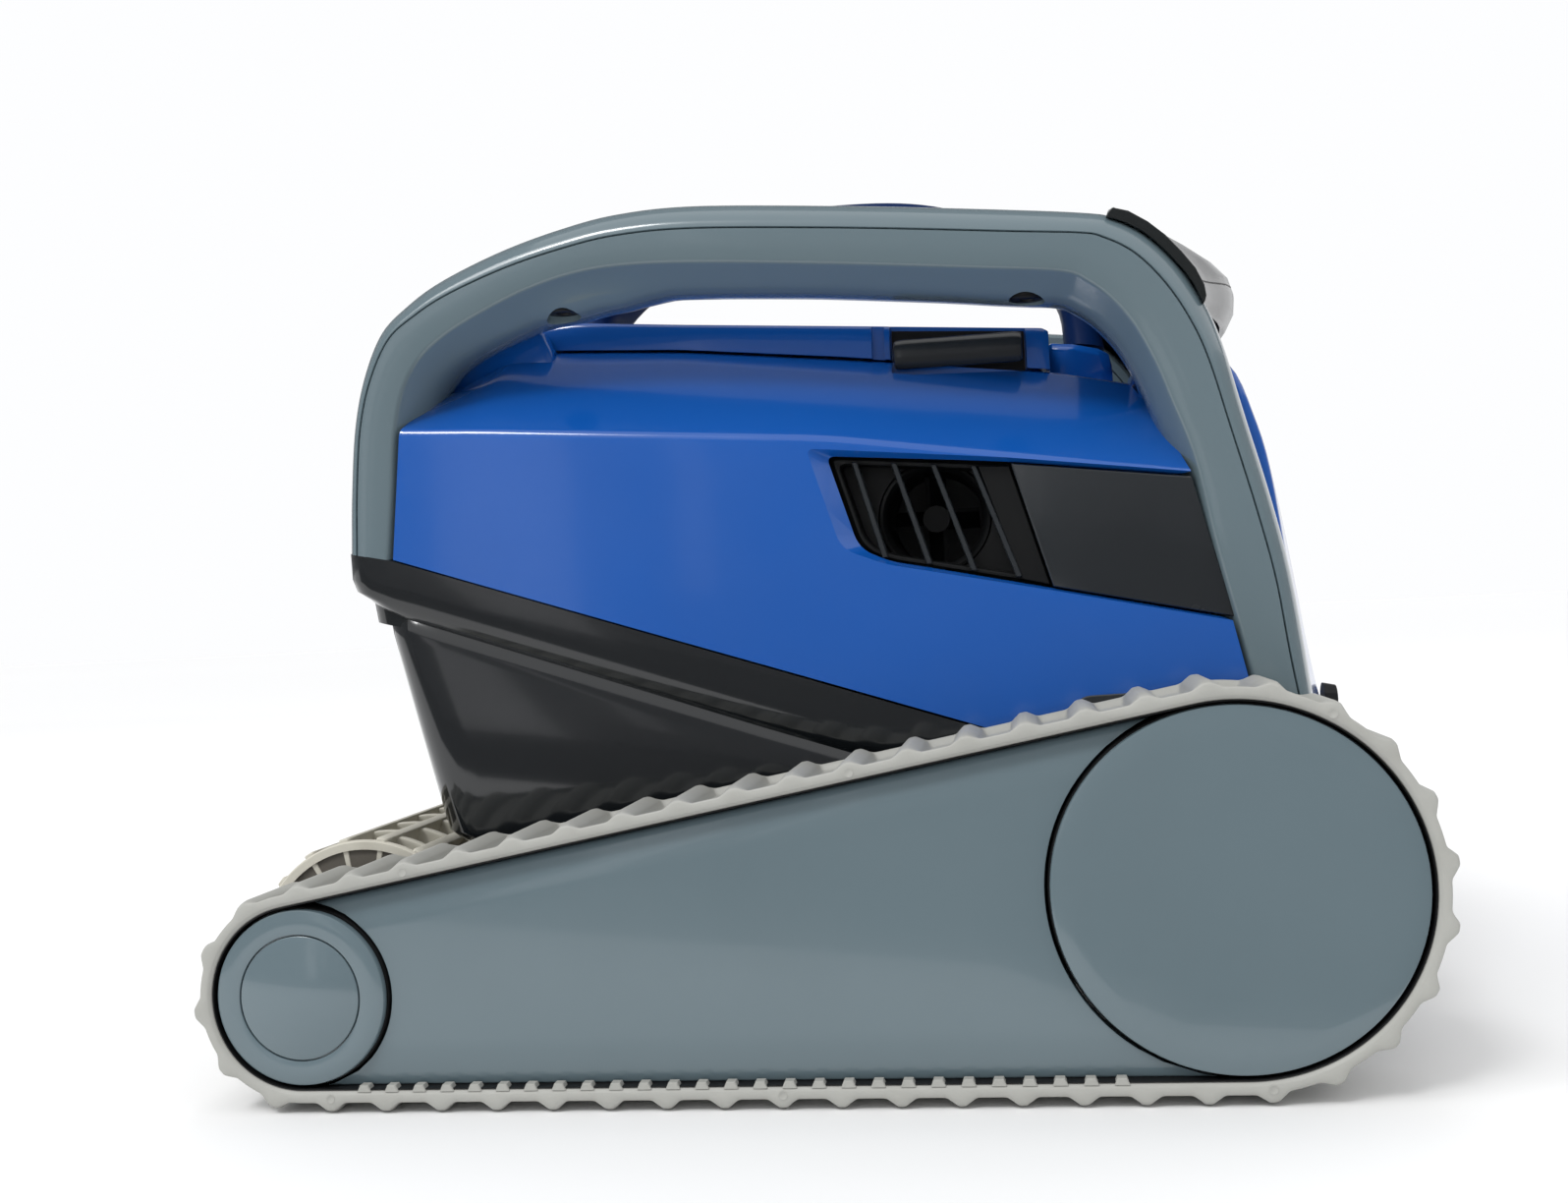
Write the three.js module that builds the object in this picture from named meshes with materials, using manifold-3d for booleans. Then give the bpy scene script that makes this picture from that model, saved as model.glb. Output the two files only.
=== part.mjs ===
// Pool cleaner. Tracked robot with a tub, a blue shell, side arches and a hinged filter lid.
// Millimetres, +Z up, front towards -X, left side towards -Y. Both tracks stand on z = 0.
import * as THREE from 'three';
import Module from 'manifold-3d';

const wasm = await Module();
wasm.setup();

// ---- driving dimensions -------------------------------------------------------------------
const HALF = 152;          // half width of the shells, arch to arch
const WALL = 4;            // shell wall
const GAP = 0.4;           // assembly clearance
const NOSE_Y = 111.6;      // half width of the panels that sit between the arches
const RAIL_Y0 = 112;       // inner side of an arch
const CAP_T = 6.5;         // thickness of the outer strip of an arch
const TRACK_Y0 = 155;      // inner side of a track
const TRACK_Y1 = 200;      // outer side of a track
const BAND = 4.2;          // thickness of the track band
const LUG_H = 3.8;         // height of a lug above the band
const LUGS = 48;           // lugs round one track
const IDLER = [-171.7, 39.6];   // front wheel centre, x z
const DRIVE = [143, 68.3];      // rear wheel centre, x z
const IDLER_R = IDLER[1] - LUG_H - BAND;   // inner radius of the band at the front
const DRIVE_R = DRIVE[1] - LUG_H - BAND;   // inner radius of the band at the rear
const WHEEL_GAP = 0.6;     // between a wheel and the band
const OUTLET = [50.5, 194.4];   // side outlet centre, x z
const OUTLET_R = 20;
const BRUSH = [-168, 44];       // brush roller axis, x z
const BRUSH_R = 43.4;
const BRUSH_CORE_R = 24;
const BRUSH_END = 148;
const LID_HINGE = [-117, 267.3];  // lid hinge, x z
const LID_Y = 99;
const LATCH_X = [36, 85];
const OPEN_X = [-93, 18];        // filter opening under the lid
const FLAP_X = [-62, 62];       // hinge line of each inlet flap

const ARCH_OUT = [
  [-166, 193], [-165, 214], [-163, 239], [-159.5, 258], [-152, 274.5], [-142, 283.5],
  [-128, 292], [-105, 301], [-82, 307.3], [-60, 311], [-31, 311.4], [20, 307.2], [73, 301.6],
  [109, 297.5], [119, 295], [129.5, 288.6], [140, 277.4], [148, 263.4], [153.5, 248.4],
  [159.5, 224], [167, 194], [172.5, 166.5], [177.3, 128], [180, 107],
];
const ARCH_IN = [
  [-150, 189.5], [-146.8, 221], [-145, 237], [-140, 254], [-129, 268], [-114, 276],
  [-87, 287], [-67, 290.5], [-43, 290.3], [10, 286], [98, 276.5], [111, 270],
  [122, 257], [130, 241], [141, 208.5], [152, 153], [161.5, 107],
];
// x, seam with the tub, side crease, upper edge
const STATIONS = [
  [[-148.6, 189.5], [-143.8, 237.4], [-133.6, 260.2]],
  [[-113.7, 177.9], [-113.7, 235.2], [-113.7, 271.6]],
  [[-48, 156.3], [-48, 229.9], [-48, 267.3]],
  [[14, 136], [14, 224.9], [14, 260]],
  [[100, 107.6], [100, 211.2], [98, 249]],
  [[161, 107.6], [140.2, 204.6], [124, 243]],
];

const group = new THREE.Group();

// ---- materials ----------------------------------------------------------------------------
const LOOKS = {
  blue: [0x2f6cc0, 0.25], black: [0x2a2c2e, 0.3], grey: [0x6d8088, 0.35],
  cream: [0xbcbcb2, 0.7], taupe: [0x5f594e, 0.8], steel: [0xb4b6b8, 0.35],
  charcoal: [0x26282a, 0.25], motor: [0x3a3d40, 0.6], mesh: [0xd2d4d2, 0.7],
};

function add(name, solid, look) {
  const mat = new THREE.MeshStandardMaterial({ color: LOOKS[look][0], roughness: LOOKS[look][1] });
  mat.name = look;
  const mesh = new THREE.Mesh(toGeometry(solid), mat);
  mesh.name = name;
  group.add(mesh);
}

// ---- solids -------------------------------------------------------------------------------
function merged(geo) {
  const pos = geo.getAttribute('position');
  const index = geo.getIndex();
  const count = index ? index.count : pos.count;
  const seen = new Map();
  const verts = [];
  const tris = [];
  for (let i = 0; i < count; i += 1) {
    const k = index ? index.getX(i) : i;
    const p = [pos.getX(k), pos.getY(k), pos.getZ(k)];
    const key = p.map((v) => Math.round(v * 1e4)).join();
    if (!seen.has(key)) {
      seen.set(key, verts.length / 3);
      verts.push(...p);
    }
    tris.push(seen.get(key));
  }
  const keep = [];
  for (let i = 0; i < tris.length; i += 3) {
    const [a, b, c] = tris.slice(i, i + 3);
    if (a !== b && b !== c && a !== c) keep.push(a, b, c);
  }
  return { verts, tris: keep };
}

function toSolid(geo) {
  const { verts, tris } = merged(geo);
  const mesh = new wasm.Mesh({
    numProp: 3,
    vertProperties: new Float32Array(verts),
    triVerts: new Uint32Array(tris),
  });
  return new wasm.Manifold(mesh);
}

function toGeometry(solid) {
  const mesh = solid.getMesh();
  const geo = new THREE.BufferGeometry();
  geo.setAttribute('position', new THREE.BufferAttribute(new Float32Array(mesh.vertProperties), 3));
  geo.setIndex(new THREE.BufferAttribute(new Uint32Array(mesh.triVerts), 1));
  const flat = geo.toNonIndexed();
  flat.computeVertexNormals();
  return flat;
}

function extrude(points, depth, holes = []) {
  const shape = new THREE.Shape(points.map(([a, b]) => new THREE.Vector2(a, b)));
  for (const hole of holes) {
    shape.holes.push(new THREE.Path(hole.map(([a, b]) => new THREE.Vector2(a, b))));
  }
  return new THREE.ExtrudeGeometry(shape, { depth, bevelEnabled: false, curveSegments: 1 });
}

// outline in x z, extruded along y from y0 to y1
function prismY(points, y0, y1, holes = []) {
  const geo = extrude(points, y1 - y0, holes);
  geo.rotateX(Math.PI / 2);
  geo.translate(0, y1, 0);
  return toSolid(geo);
}

// outline in x y, extruded along z
function prismZ(points, z0, z1, holes = []) {
  const geo = extrude(points, z1 - z0, holes);
  geo.translate(0, 0, z0);
  return toSolid(geo);
}

function box(x0, x1, y0, y1, z0, z1) {
  const geo = new THREE.BoxGeometry(x1 - x0, y1 - y0, z1 - z0);
  geo.translate((x0 + x1) / 2, (y0 + y1) / 2, (z0 + z1) / 2);
  return toSolid(geo);
}

// profile in radius and y, turned about the y direction through the centre x z
function turnY(profile, centre, segments = 32) {
  const pts = profile.map(([r, y]) => new THREE.Vector2(r, y));
  const geo = new THREE.LatheGeometry(pts, segments);
  geo.translate(centre[0], 0, centre[1]);
  let solid = toSolid(geo);
  if (solid.volume() < 0) {
    const flipped = merged(geo);
    for (let i = 0; i < flipped.tris.length; i += 3) {
      [flipped.tris[i], flipped.tris[i + 1]] = [flipped.tris[i + 1], flipped.tris[i]];
    }
    solid = new wasm.Manifold(new wasm.Mesh({
      numProp: 3,
      vertProperties: new Float32Array(flipped.verts),
      triVerts: new Uint32Array(flipped.tris),
    }));
  }
  return solid;
}

function rod(radius, y0, y1, centre, segments = 20) {
  return turnY([[0, y0], [radius, y0], [radius, y1], [0, y1]], centre, segments);
}

function ring(r0, r1, y0, y1, centre, segments = 32) {
  return turnY([[r0, y0], [r1, y0], [r1, y1], [r0, y1], [r0, y0]], centre, segments);
}

// skin through equal loops of x y z points, closed with flat ends
function loft(loops) {
  const n = loops[0].length;
  const verts = loops.flat(2);
  const tris = [];
  for (let k = 0; k + 1 < loops.length; k += 1) {
    for (let i = 0; i < n; i += 1) {
      const a = k * n + i;
      const b = k * n + ((i + 1) % n);
      tris.push(a, b, b + n, a, b + n, a + n);
    }
  }
  for (const [k, start] of [[0, true], [loops.length - 1, false]]) {
    const loop = loops[k];
    const wide = (axis) => Math.max(...loop.map((p) => p[axis])) - Math.min(...loop.map((p) => p[axis]));
    const first = wide(0) > wide(1) ? 0 : 1;
    const flat = loop.map((p) => new THREE.Vector2(p[first], p[2]));
    const keep = THREE.ShapeUtils.area(flat) > 0;
    for (const face of THREE.ShapeUtils.triangulateShape(flat, [])) {
      const [a, b, c] = face;
      const tri = THREE.ShapeUtils.area([flat[a], flat[b], flat[c]]) > 0;
      const list = (tri === keep) !== start ? [a, b, c] : [a, c, b];
      tris.push(...list.map((i) => k * n + i));
    }
  }
  const make = (list) => new wasm.Manifold(new wasm.Mesh({
    numProp: 3,
    vertProperties: new Float32Array(verts),
    triVerts: new Uint32Array(list),
  }));
  const first = make(tris);
  if (first.volume() > 0) return first;
  const back = [];
  for (let i = 0; i < tris.length; i += 3) back.push(tris[i + 1], tris[i], tris[i + 2]);
  return make(back);
}

function offsetPath(path, dist) {
  return path.map((p, i) => {
    const a = path[Math.max(i - 1, 0)];
    const b = path[Math.min(i + 1, path.length - 1)];
    const len = Math.hypot(b[0] - a[0], b[1] - a[1]);
    return [p[0] + (b[1] - a[1]) / len * dist, p[1] - (b[0] - a[0]) / len * dist];
  });
}

function both(make) {
  for (const [side, s] of [['left', -1], ['right', 1]]) make(side, s);
}

function spanY(s, a, b) {
  return s < 0 ? [-b, -a] : [a, b];
}

function union(list) {
  return list.slice(1).reduce((sum, item) => sum.add(item), list[0]);
}

// ---- shells -------------------------------------------------------------------------------
const TUB = [
  [-166, 191.6], [-165.5, 181], [-162.5, 177], [-150, 170.3], [-149, 167], [-135, 87],
  [-112, 84], [-104, 26], [150, 26], [176, 40], [196, 78], [204, 106.6], [100, 106.6],
  [-149.6, 188.9],
];

function lowerShell() {
  const inner = [
    [-143.5, 190], [-144, 165], [-130, 91], [-108, 88], [-100, 30], [148, 30], [172, 43],
    [190, 76], [199, 140], [90, 140],
  ];
  let tub = prismY(TUB, -HALF, HALF);
  let room = prismY(inner, -HALF + WALL, HALF - WALL);
  for (const s of [-1, 1]) {
    tub = tub.subtract(prismZ([[170, s * 160], [214, s * 160], [214, s * 110]], 20, 130));
    room = room.subtract(prismZ([[164, s * 160], [214, s * 160], [214, s * 103]], 20, 150));
  }
  tub = tub.subtract(room);
  const nose = [
    [-163, 191.5], [-181, 191], [-180, 181], [-162, 173.5], [-149, 169], [-145, 175], [-148, 188],
  ];
  tub = tub.add(prismY(nose, -NOSE_Y, NOSE_Y));
  for (const x of FLAP_X) {
    tub = tub.subtract(box(x - 3, x + 27, -62, 62, 20, 40));
    tub = tub.subtract(rod(1.6, -66, 66, [x, 28], 10));
  }
  for (const s of [-1, 1]) {
    const [y0, y1] = spanY(s, 140, 156);
    tub = tub.subtract(rod(9, y0, y1, DRIVE, 24));
  }
  add('lower_shell', tub, 'black');
}

function shellLoops(inset) {
  return STATIONS.map(([low, mid, top], i) => {
    const end = i === 0 ? inset : (i === STATIONS.length - 1 ? -inset : 0);
    const y1 = HALF - inset;
    const y2 = 100 - inset * 0.4;
    const drop = inset ? 12 : 0;
    const half = [
      [low[0] + end, y1, low[1] - drop],
      [mid[0] + end, y1, mid[1] - inset * 0.3],
      [top[0] + end, y2, top[1] - inset],
    ];
    const mirror = half.map(([x, y, z]) => [x, -y, z]).reverse();
    return [...half, ...mirror];
  });
}

const WINDOW = [
  [15.3, 217.6], [78, 211.7], [138.6, 204.2], [151, 153.2], [89.6, 167.4], [32.8, 179.4],
  [23.2, 188.9],
];

function upperShell() {
  let shell = loft(shellLoops(0)).subtract(loft(shellLoops(WALL)));
  shell = shell.subtract(box(...OPEN_X, -88, 88, 220, 290));
  for (const s of [-1, 1]) {
    const [y0, y1] = spanY(s, 130, 160);
    shell = shell.subtract(prismY(WINDOW, y0, y1));
  }
  for (const s of [-1, 1]) {
    const [y0, y1] = spanY(s, 99.4, 109.5);
    shell = shell.subtract(box(LATCH_X[0] - 0.5, LATCH_X[1] + 0.5, y0, y1, 249.5, 280));
  }
  shell = shell.subtract(box(-128, -100.5, -62, 62, 262.2, 280));
  for (const s of [-1, 1]) {
    const [y0, y1] = spanY(s, 62, 70);
    shell = shell.add(box(-123, -111, y0, y1, 259, 268.5));
    shell = shell.subtract(rod(2.3, y0 - 1, y1 + 1, LID_HINGE, 12));
  }
  add('upper_shell', shell, 'blue');
}

const FRONT_NOSE = [
  [-150.2, 192.2], [-179, 192.2], [-186, 214], [-183, 236], [-168, 256], [-150, 266.5],
  [-143, 269.5], [-136, 261.2], [-145.2, 237.5],
];
const REAR_NOSE = [
  [161.6, 107.4], [204.5, 107.4], [202, 120], [198.5, 140], [195, 166], [188.5, 206],
  [182, 227], [172, 246], [151, 257], [132, 259], [124.6, 243.4], [140.8, 204.7],
];

function nosePanel(outline, s, drop) {
  let panel = prismY(outline, -NOSE_Y, NOSE_Y);
  let room = prismY(offsetClosed(outline, WALL), -NOSE_Y + WALL, NOSE_Y - WALL);
  const x = outline.map((p) => p[0]);
  const tip = s < 0 ? Math.min(...x) : Math.max(...x);
  for (const e of [-1, 1]) {
    const far = tip + s * 4;
    panel = panel.subtract(prismZ([[tip - s * drop, e * 116], [far, e * 116], [far, e * 60]], 90, 290));
    room = room.subtract(prismZ([[tip - s * (drop + 4.5), e * 116], [far, e * 116], [far, e * 51.6]], 90, 290));
  }
  panel = panel.subtract(room);
  const hatch = s < 0 ? box(-158, -120, -90, 90, 200, 232) : box(120, 158, -90, 90, 120, 190);
  panel = panel.subtract(hatch);
  return panel;
}

function offsetClosed(points, dist) {
  const area = points.reduce((sum, p, i) => {
    const q = points[(i + 1) % points.length];
    return sum + p[0] * q[1] - q[0] * p[1];
  }, 0);
  const sign = area > 0 ? 1 : -1;
  return points.map((p, i) => {
    const a = points[(i + points.length - 1) % points.length];
    const b = points[(i + 1) % points.length];
    const u = [p[0] - a[0], p[1] - a[1]];
    const v = [b[0] - p[0], b[1] - p[1]];
    const lu = Math.hypot(...u);
    const lv = Math.hypot(...v);
    const nu = [-u[1] / lu, u[0] / lu];
    const nv = [-v[1] / lv, v[0] / lv];
    const dot = 1 + nu[0] * nv[0] + nu[1] * nv[1];
    return [
      p[0] + sign * dist * (nu[0] + nv[0]) / dot,
      p[1] + sign * dist * (nu[1] + nv[1]) / dot,
    ];
  });
}

// ---- arches -------------------------------------------------------------------------------
function arches() {
  const mid = offsetPath(ARCH_OUT, CAP_T);
  const rail = offsetPath(ARCH_OUT, CAP_T + 0.3);
  both((side, s) => {
    const [y0, y1] = spanY(s, RAIL_Y0, HALF);
    const foot = box(100, 220, y0 - 1, y1 + 1, 90, 107.1);
    const cap = prismY([...ARCH_OUT, ...mid.slice().reverse()], y0, y1);
    add(`arch_cap_${side}`, cap.subtract(foot), 'grey');
    let solid = prismY([...rail, ...ARCH_IN.slice().reverse()], y0, y1).subtract(foot);
    for (const x of [-84, 87]) {
      const z = x < 0 ? 287.7 : 277.6;
      solid = solid.subtract(box(x - 4.5, x + 4.5, s * 132 - 4.5, s * 132 + 4.5, z - 6, z + 4));
      const screw = new THREE.CylinderGeometry(3.6, 3.6, 3, 12);
      screw.rotateX(Math.PI / 2);
      screw.translate(x, s * 132, z + 2.2);
      add(`arch_screw_${x < 0 ? 'front' : 'rear'}_${side}`, toSolid(screw), 'steel');
    }
    add(`arch_rail_${side}`, solid, 'grey');
  });
}

// ---- rear hood ----------------------------------------------------------------------------
const HOOD_END = [          // x z of the section at the arches, outer then inner
  [117, 300.9], [131.5, 291.8], [141.5, 281.6], [148.8, 268.4], [152.8, 256.4],
  [151.9, 256], [148.7, 264.1], [140.6, 278.2], [129.9, 289.4], [119.3, 295.9],
];
const HOOD_MIDDLE = [
  [124.5, 319.5], [149, 303], [164.5, 291], [169.5, 279], [165, 264.5],
  [160.5, 265.5], [164, 277], [160.5, 287.5], [146.5, 298.5], [122, 314.5],
];

function rearHood() {
  const stations = [[-151.6, 0], [-138, 0.1], [-112, 0.45], [-80, 0.85], [-45, 1]];
  const all = [...stations, ...stations.map(([y, k]) => [-y, k]).reverse()];
  return all.map(([y, k]) => HOOD_END.map(([x, z], i) => [
    x + (HOOD_MIDDLE[i][0] - x) * k, y, z + (HOOD_MIDDLE[i][1] - z) * k,
  ]));
}

// ---- side outlets -------------------------------------------------------------------------
function sideOutlets() {
  both((side, s) => {
    const [y0, y1] = spanY(s, 140, 149);
    const frame = offsetClosed(WINDOW, 0.4);
    const cut = [
      [17.6, 215.2], [60, 211.4], [76.5, 172.8], [33.8, 181.8], [25.4, 190],
    ];
    let panel = prismY(frame, y0, y1);
    panel = panel.subtract(prismY(cut, -170, 170));
    const bars = [];
    for (let i = 0; i < 4; i += 1) {
      const x = 23.5 + 13.9 * i;
      const top = [[x, 219], [x + 2.4, 219], [x + 14.8, 170], [x + 12.4, 170]];
      const [b0, b1] = spanY(s, 143, 148);
      bars.push(prismY(top, b0, b1).intersect(prismY(offsetClosed(cut, -1), -170, 170)));
    }
    panel = union([panel, ...bars]);
    add(`side_fairing_${side}`, panel, 'charcoal');
    const [d0, d1] = spanY(s, 96, 139.4);
    add(`outlet_duct_${side}`, ring(OUTLET_R - 3, OUTLET_R, d0, d1, OUTLET, 24), 'black');
  });
}

function impellers() {
  both((side, s) => {
    const [y0, y1] = spanY(s, 112, 128);
    const [a0, a1] = spanY(s, 95.5, 113);
    const blades = [rod(5, y0, y1, OUTLET, 12), rod(3, a0, a1, OUTLET, 12)];
    for (let i = 0; i < 4; i += 1) {
      const geo = new THREE.BoxGeometry(1.6, 12, 12);
      geo.rotateZ(0.5 * s);
      geo.translate(0, 0, 9.5);
      geo.rotateY(i * Math.PI / 2);
      geo.translate(OUTLET[0], (y0 + y1) / 2, OUTLET[1]);
      blades.push(toSolid(geo));
    }
    add(`impeller_${side}`, union(blades), 'charcoal');
  });
}

// ---- tracks -------------------------------------------------------------------------------
// outline of a belt that wraps both wheels at a given stand-off from the band's inner face
function beltPoint(t, off) {
  const dx = DRIVE[0] - IDLER[0];
  const dz = DRIVE[1] - IDLER[1];
  const span = Math.hypot(dx, dz);
  const base = Math.atan2(dz, dx);
  const lean = Math.asin((DRIVE_R - IDLER_R) / span);
  const up = base + Math.PI / 2 + lean;
  const down = base - Math.PI / 2 - lean;
  const run = Math.sqrt(span * span - (DRIVE_R - IDLER_R) ** 2);
  const mid = BAND / 2;
  const arcR = (DRIVE_R + mid) * (up - down);
  const arcF = (IDLER_R + mid) * (2 * Math.PI - up + down);
  const total = 2 * run + arcR + arcF;
  let s = ((t % 1) + 1) % 1 * total;
  if (s < run) {
    const n = [Math.cos(down), Math.sin(down)];
    const d = [-n[1], n[0]];
    return [IDLER[0] + n[0] * (IDLER_R + off) + d[0] * s, IDLER[1] + n[1] * (IDLER_R + off) + d[1] * s];
  }
  s -= run;
  if (s < arcR) {
    const a = down + s / (DRIVE_R + mid);
    return [DRIVE[0] + Math.cos(a) * (DRIVE_R + off), DRIVE[1] + Math.sin(a) * (DRIVE_R + off)];
  }
  s -= arcR;
  if (s < run) {
    const n = [Math.cos(up), Math.sin(up)];
    const d = [-n[1], n[0]];
    return [DRIVE[0] + n[0] * (DRIVE_R + off) + d[0] * s, DRIVE[1] + n[1] * (DRIVE_R + off) + d[1] * s];
  }
  s -= run;
  const a = up + s / (IDLER_R + mid);
  return [IDLER[0] + Math.cos(a) * (IDLER_R + off), IDLER[1] + Math.sin(a) * (IDLER_R + off)];
}

function beltLength() {
  let sum = 0;
  for (let i = 0; i < 2000; i += 1) {
    const p = beltPoint(i / 2000, BAND / 2);
    const q = beltPoint((i + 1) / 2000, BAND / 2);
    sum += Math.hypot(p[0] - q[0], p[1] - q[1]);
  }
  return sum;
}

function tracks() {
  const pitch = 1 / LUGS;
  const length = beltLength();
  const wide = 4.6 / length;
  const tip = 2.2 / length;
  const outer = [];
  for (let i = 0; i < LUGS; i += 1) {
    const t = (i + 0.5) * pitch;
    outer.push(beltPoint(t - wide, BAND), beltPoint(t - tip, BAND + LUG_H));
    outer.push(beltPoint(t + tip, BAND + LUG_H), beltPoint(t + wide, BAND));
  }
  const inner = [];
  for (let i = 0; i < LUGS * 2; i += 1) inner.push(beltPoint(i * pitch / 2, 0));
  both((side, s) => {
    const [y0, y1] = spanY(s, TRACK_Y0, TRACK_Y1);
    add(`track_${side}`, prismY(outer, y0, y1, [inner]), 'cream');
  });
}

function trackInside(off) {
  const pts = [];
  for (let i = 0; i < 80; i += 1) pts.push(beltPoint(i / 80, -off));
  return pts;
}

function trackSides() {
  both((side, s) => {
    const [p0, p1] = spanY(s, 187.5, 195.5);
    let panel = prismY(trackInside(1.2), p0, p1);
    panel = panel.subtract(rod(IDLER_R + 0.6, p0 - 2, p1 + 2, IDLER, 40));
    panel = panel.subtract(rod(DRIVE_R + 0.6, p0 - 2, p1 + 2, DRIVE, 56));
    panel = panel.subtract(box(DRIVE[0], 260, p0 - 2, p1 + 2, -20, 200));
    panel = panel.subtract(box(-260, IDLER[0], p0 - 2, p1 + 2, -20, 200));
    panel = biggest(panel);
    add(`track_panel_${side}`, panel, 'grey');
    const [f0, f1] = spanY(s, HALF + 0.4, 187);
    const body = [
      [-128, 28], [-132, 54], [-120, 60], [72, 90], [70, 20], [-124, 20],
    ];
    let frame = prismY(body, f0, f1);
    const [a0, a1] = spanY(s, HALF + 0.4, 158);
    const arm = [
      [-180, 30], [-182, 44], [-176, 52], [-125, 62], [-120, 28], [-160, 22],
    ];
    const back = [[60, 40], [60, 98], [150, 84], [158, 70], [150, 54]];
    frame = frame.add(prismY(arm, a0, a1)).add(prismY(back, a0, a1));
    const [k0, k1] = spanY(s, HALF - 4, 200);
    frame = frame.subtract(rod(9, k0, k1, DRIVE, 16));
    frame = frame.subtract(rod(6.4, ...spanY(s, 155.6, 200), IDLER, 12));
    frame = frame.subtract(rod(3.4, ...spanY(s, HALF - 4, 155.3), BRUSH, 12));
    add(`track_frame_${side}`, frame, 'black');
    const [q0, q1] = spanY(s, 155.9, 194);
    add(`idler_axle_${side}`, rod(5.9, q0, q1, IDLER, 12), 'steel');
  });
}

function biggest(solid) {
  const parts = solid.decompose();
  return parts.sort((a, b) => b.volume() - a.volume())[0];
}

function wheels() {
  both((side, s) => {
    const [d0, d1] = spanY(s, 159, 195);
    const r = DRIVE_R - WHEEL_GAP;
    let wheel = rod(r, d0, d1, DRIVE, 48);
    const [w0, w1] = spanY(s, 150, 186);
    wheel = wheel.subtract(ring(22, r - 6, w0, w1, DRIVE, 32));
    wheel = wheel.subtract(rod(6.3, d0 - 3, d1 + 3, DRIVE, 12));
    add(`drive_wheel_${side}`, wheel, 'black');
    const [x0, x1] = spanY(s, 128, 194.6);
    const [b0, b1] = spanY(s, 149, 157.5);
    add(`axle_bush_${side}`, ring(6.5, 8.5, b0, b1, DRIVE, 16), 'steel');
    add(`drive_axle_${side}`, rod(5.9, x0, x1, DRIVE, 12), 'steel');
    const [c0, c1] = spanY(s, 195.3, 199);
    add(`drive_cap_${side}`, rod(r - 1.6, c0, c1, DRIVE, 48), 'grey');
    const q = IDLER_R - WHEEL_GAP;
    let idler = rod(q, d0, d1, IDLER, 32);
    idler = idler.subtract(ring(14, q - 5, w0, w1, IDLER, 20));
    idler = idler.subtract(rod(6.4, d0 - 3, d1 + 3, IDLER, 12));
    add(`idler_wheel_${side}`, idler, 'black');
    const cap = turnY(s < 0
      ? [[0, c0], [20.8, c0], [20.8, c0 + 1], [21.4, c0 + 1], [21.4, c0], [q - 1.6, c0], [q - 1.6, c1], [0, c1]]
      : [[0, c0], [q - 1.6, c0], [q - 1.6, c1], [21.4, c1], [21.4, c1 - 1], [20.8, c1 - 1], [20.8, c1], [0, c1]],
    IDLER, 32);
    add(`idler_cap_${side}`, cap, 'grey');
  });
}

// ---- brush --------------------------------------------------------------------------------
function brush() {
  const core = ring(5.6, BRUSH_CORE_R, -BRUSH_END, BRUSH_END, BRUSH, 16);
  add('brush_core', core, 'taupe');
  const rows = 8;
  const tube = BRUSH_CORE_R + 0.8;
  const parts = [ring(tube, tube + 3.4, -BRUSH_END, BRUSH_END, BRUSH, 16)];
  for (let i = 0; i < rows; i += 1) {
    const foot = tube + 0.6;
    const geo = new THREE.BoxGeometry(4, 2 * BRUSH_END, BRUSH_R - foot);
    geo.translate(0, 0, (BRUSH_R + foot) / 2);
    geo.rotateY(i * 2 * Math.PI / rows);
    geo.translate(BRUSH[0], 0, BRUSH[1]);
    parts.push(toSolid(geo));
  }
  for (let k = 0; k <= 5; k += 1) {
    const y = -BRUSH_END + 2 + k * (2 * BRUSH_END - 4) / 5;
    parts.push(ring(tube + 1.4, BRUSH_R - 1.6, y - 1.6, y + 1.6, BRUSH, 16));
  }
  add('brush_sleeve', union(parts), 'cream');
  add('brush_axle', rod(5, -151.6, 151.6, BRUSH, 12).add(rod(3, -155, 155, BRUSH, 12)), 'steel');
}

// ---- lid ----------------------------------------------------------------------------------
function lid() {
  const loop = (x, zb, zt, yk) => {
    const half = [[x, LID_Y * yk, zb], [x, LID_Y * yk, zt], [x, 62, zt + 5], [x, 20, zt + 8]];
    return [...half, ...half.map(([a, b, c]) => [a, -b, c]).reverse()];
  };
  let shell = loft([
    loop(-110, 271.9, 273, 0.9), loop(-92, 270.7, 280.2, 1), loop(-48, 267.8, 277.2, 1),
    loop(14, 260.5, 272.4, 1), loop(95, 249.9, 266, 1),
  ]);
  const tongue = loft([[94, 250.6, 272.4], [122, 247.6, 268.4]].map(([x, zb, zt]) => [
    [x, 45, zb], [x, 45, zt - 3], [x, 20, zt], [x, -20, zt], [x, -45, zt - 3], [x, -45, zb],
  ]));
  shell = shell.add(tongue);
  const under = loft([
    loop(-99, 240, 273.4, 0.935), loop(-48, 240, 273.6, 0.955), loop(14, 240, 268.6, 0.955),
    loop(90, 240, 262, 0.955),
  ]);
  shell = shell.subtract(under);
  const knuckle = [
    [-121.3, 266], [-121, 270], [-118, 272], [-110, 272.8], [-104, 275.4], [-101.5, 272.5],
    [-105, 268.5], [-110, 264], [-116, 263], [-119.5, 263.6],
  ];
  shell = shell.add(prismY(knuckle, -58, -30)).add(prismY(knuckle, 30, 58));
  shell = shell.subtract(rod(2.4, -70, 70, LID_HINGE, 12));
  add('lid_panel', shell, 'blue');
}

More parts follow.
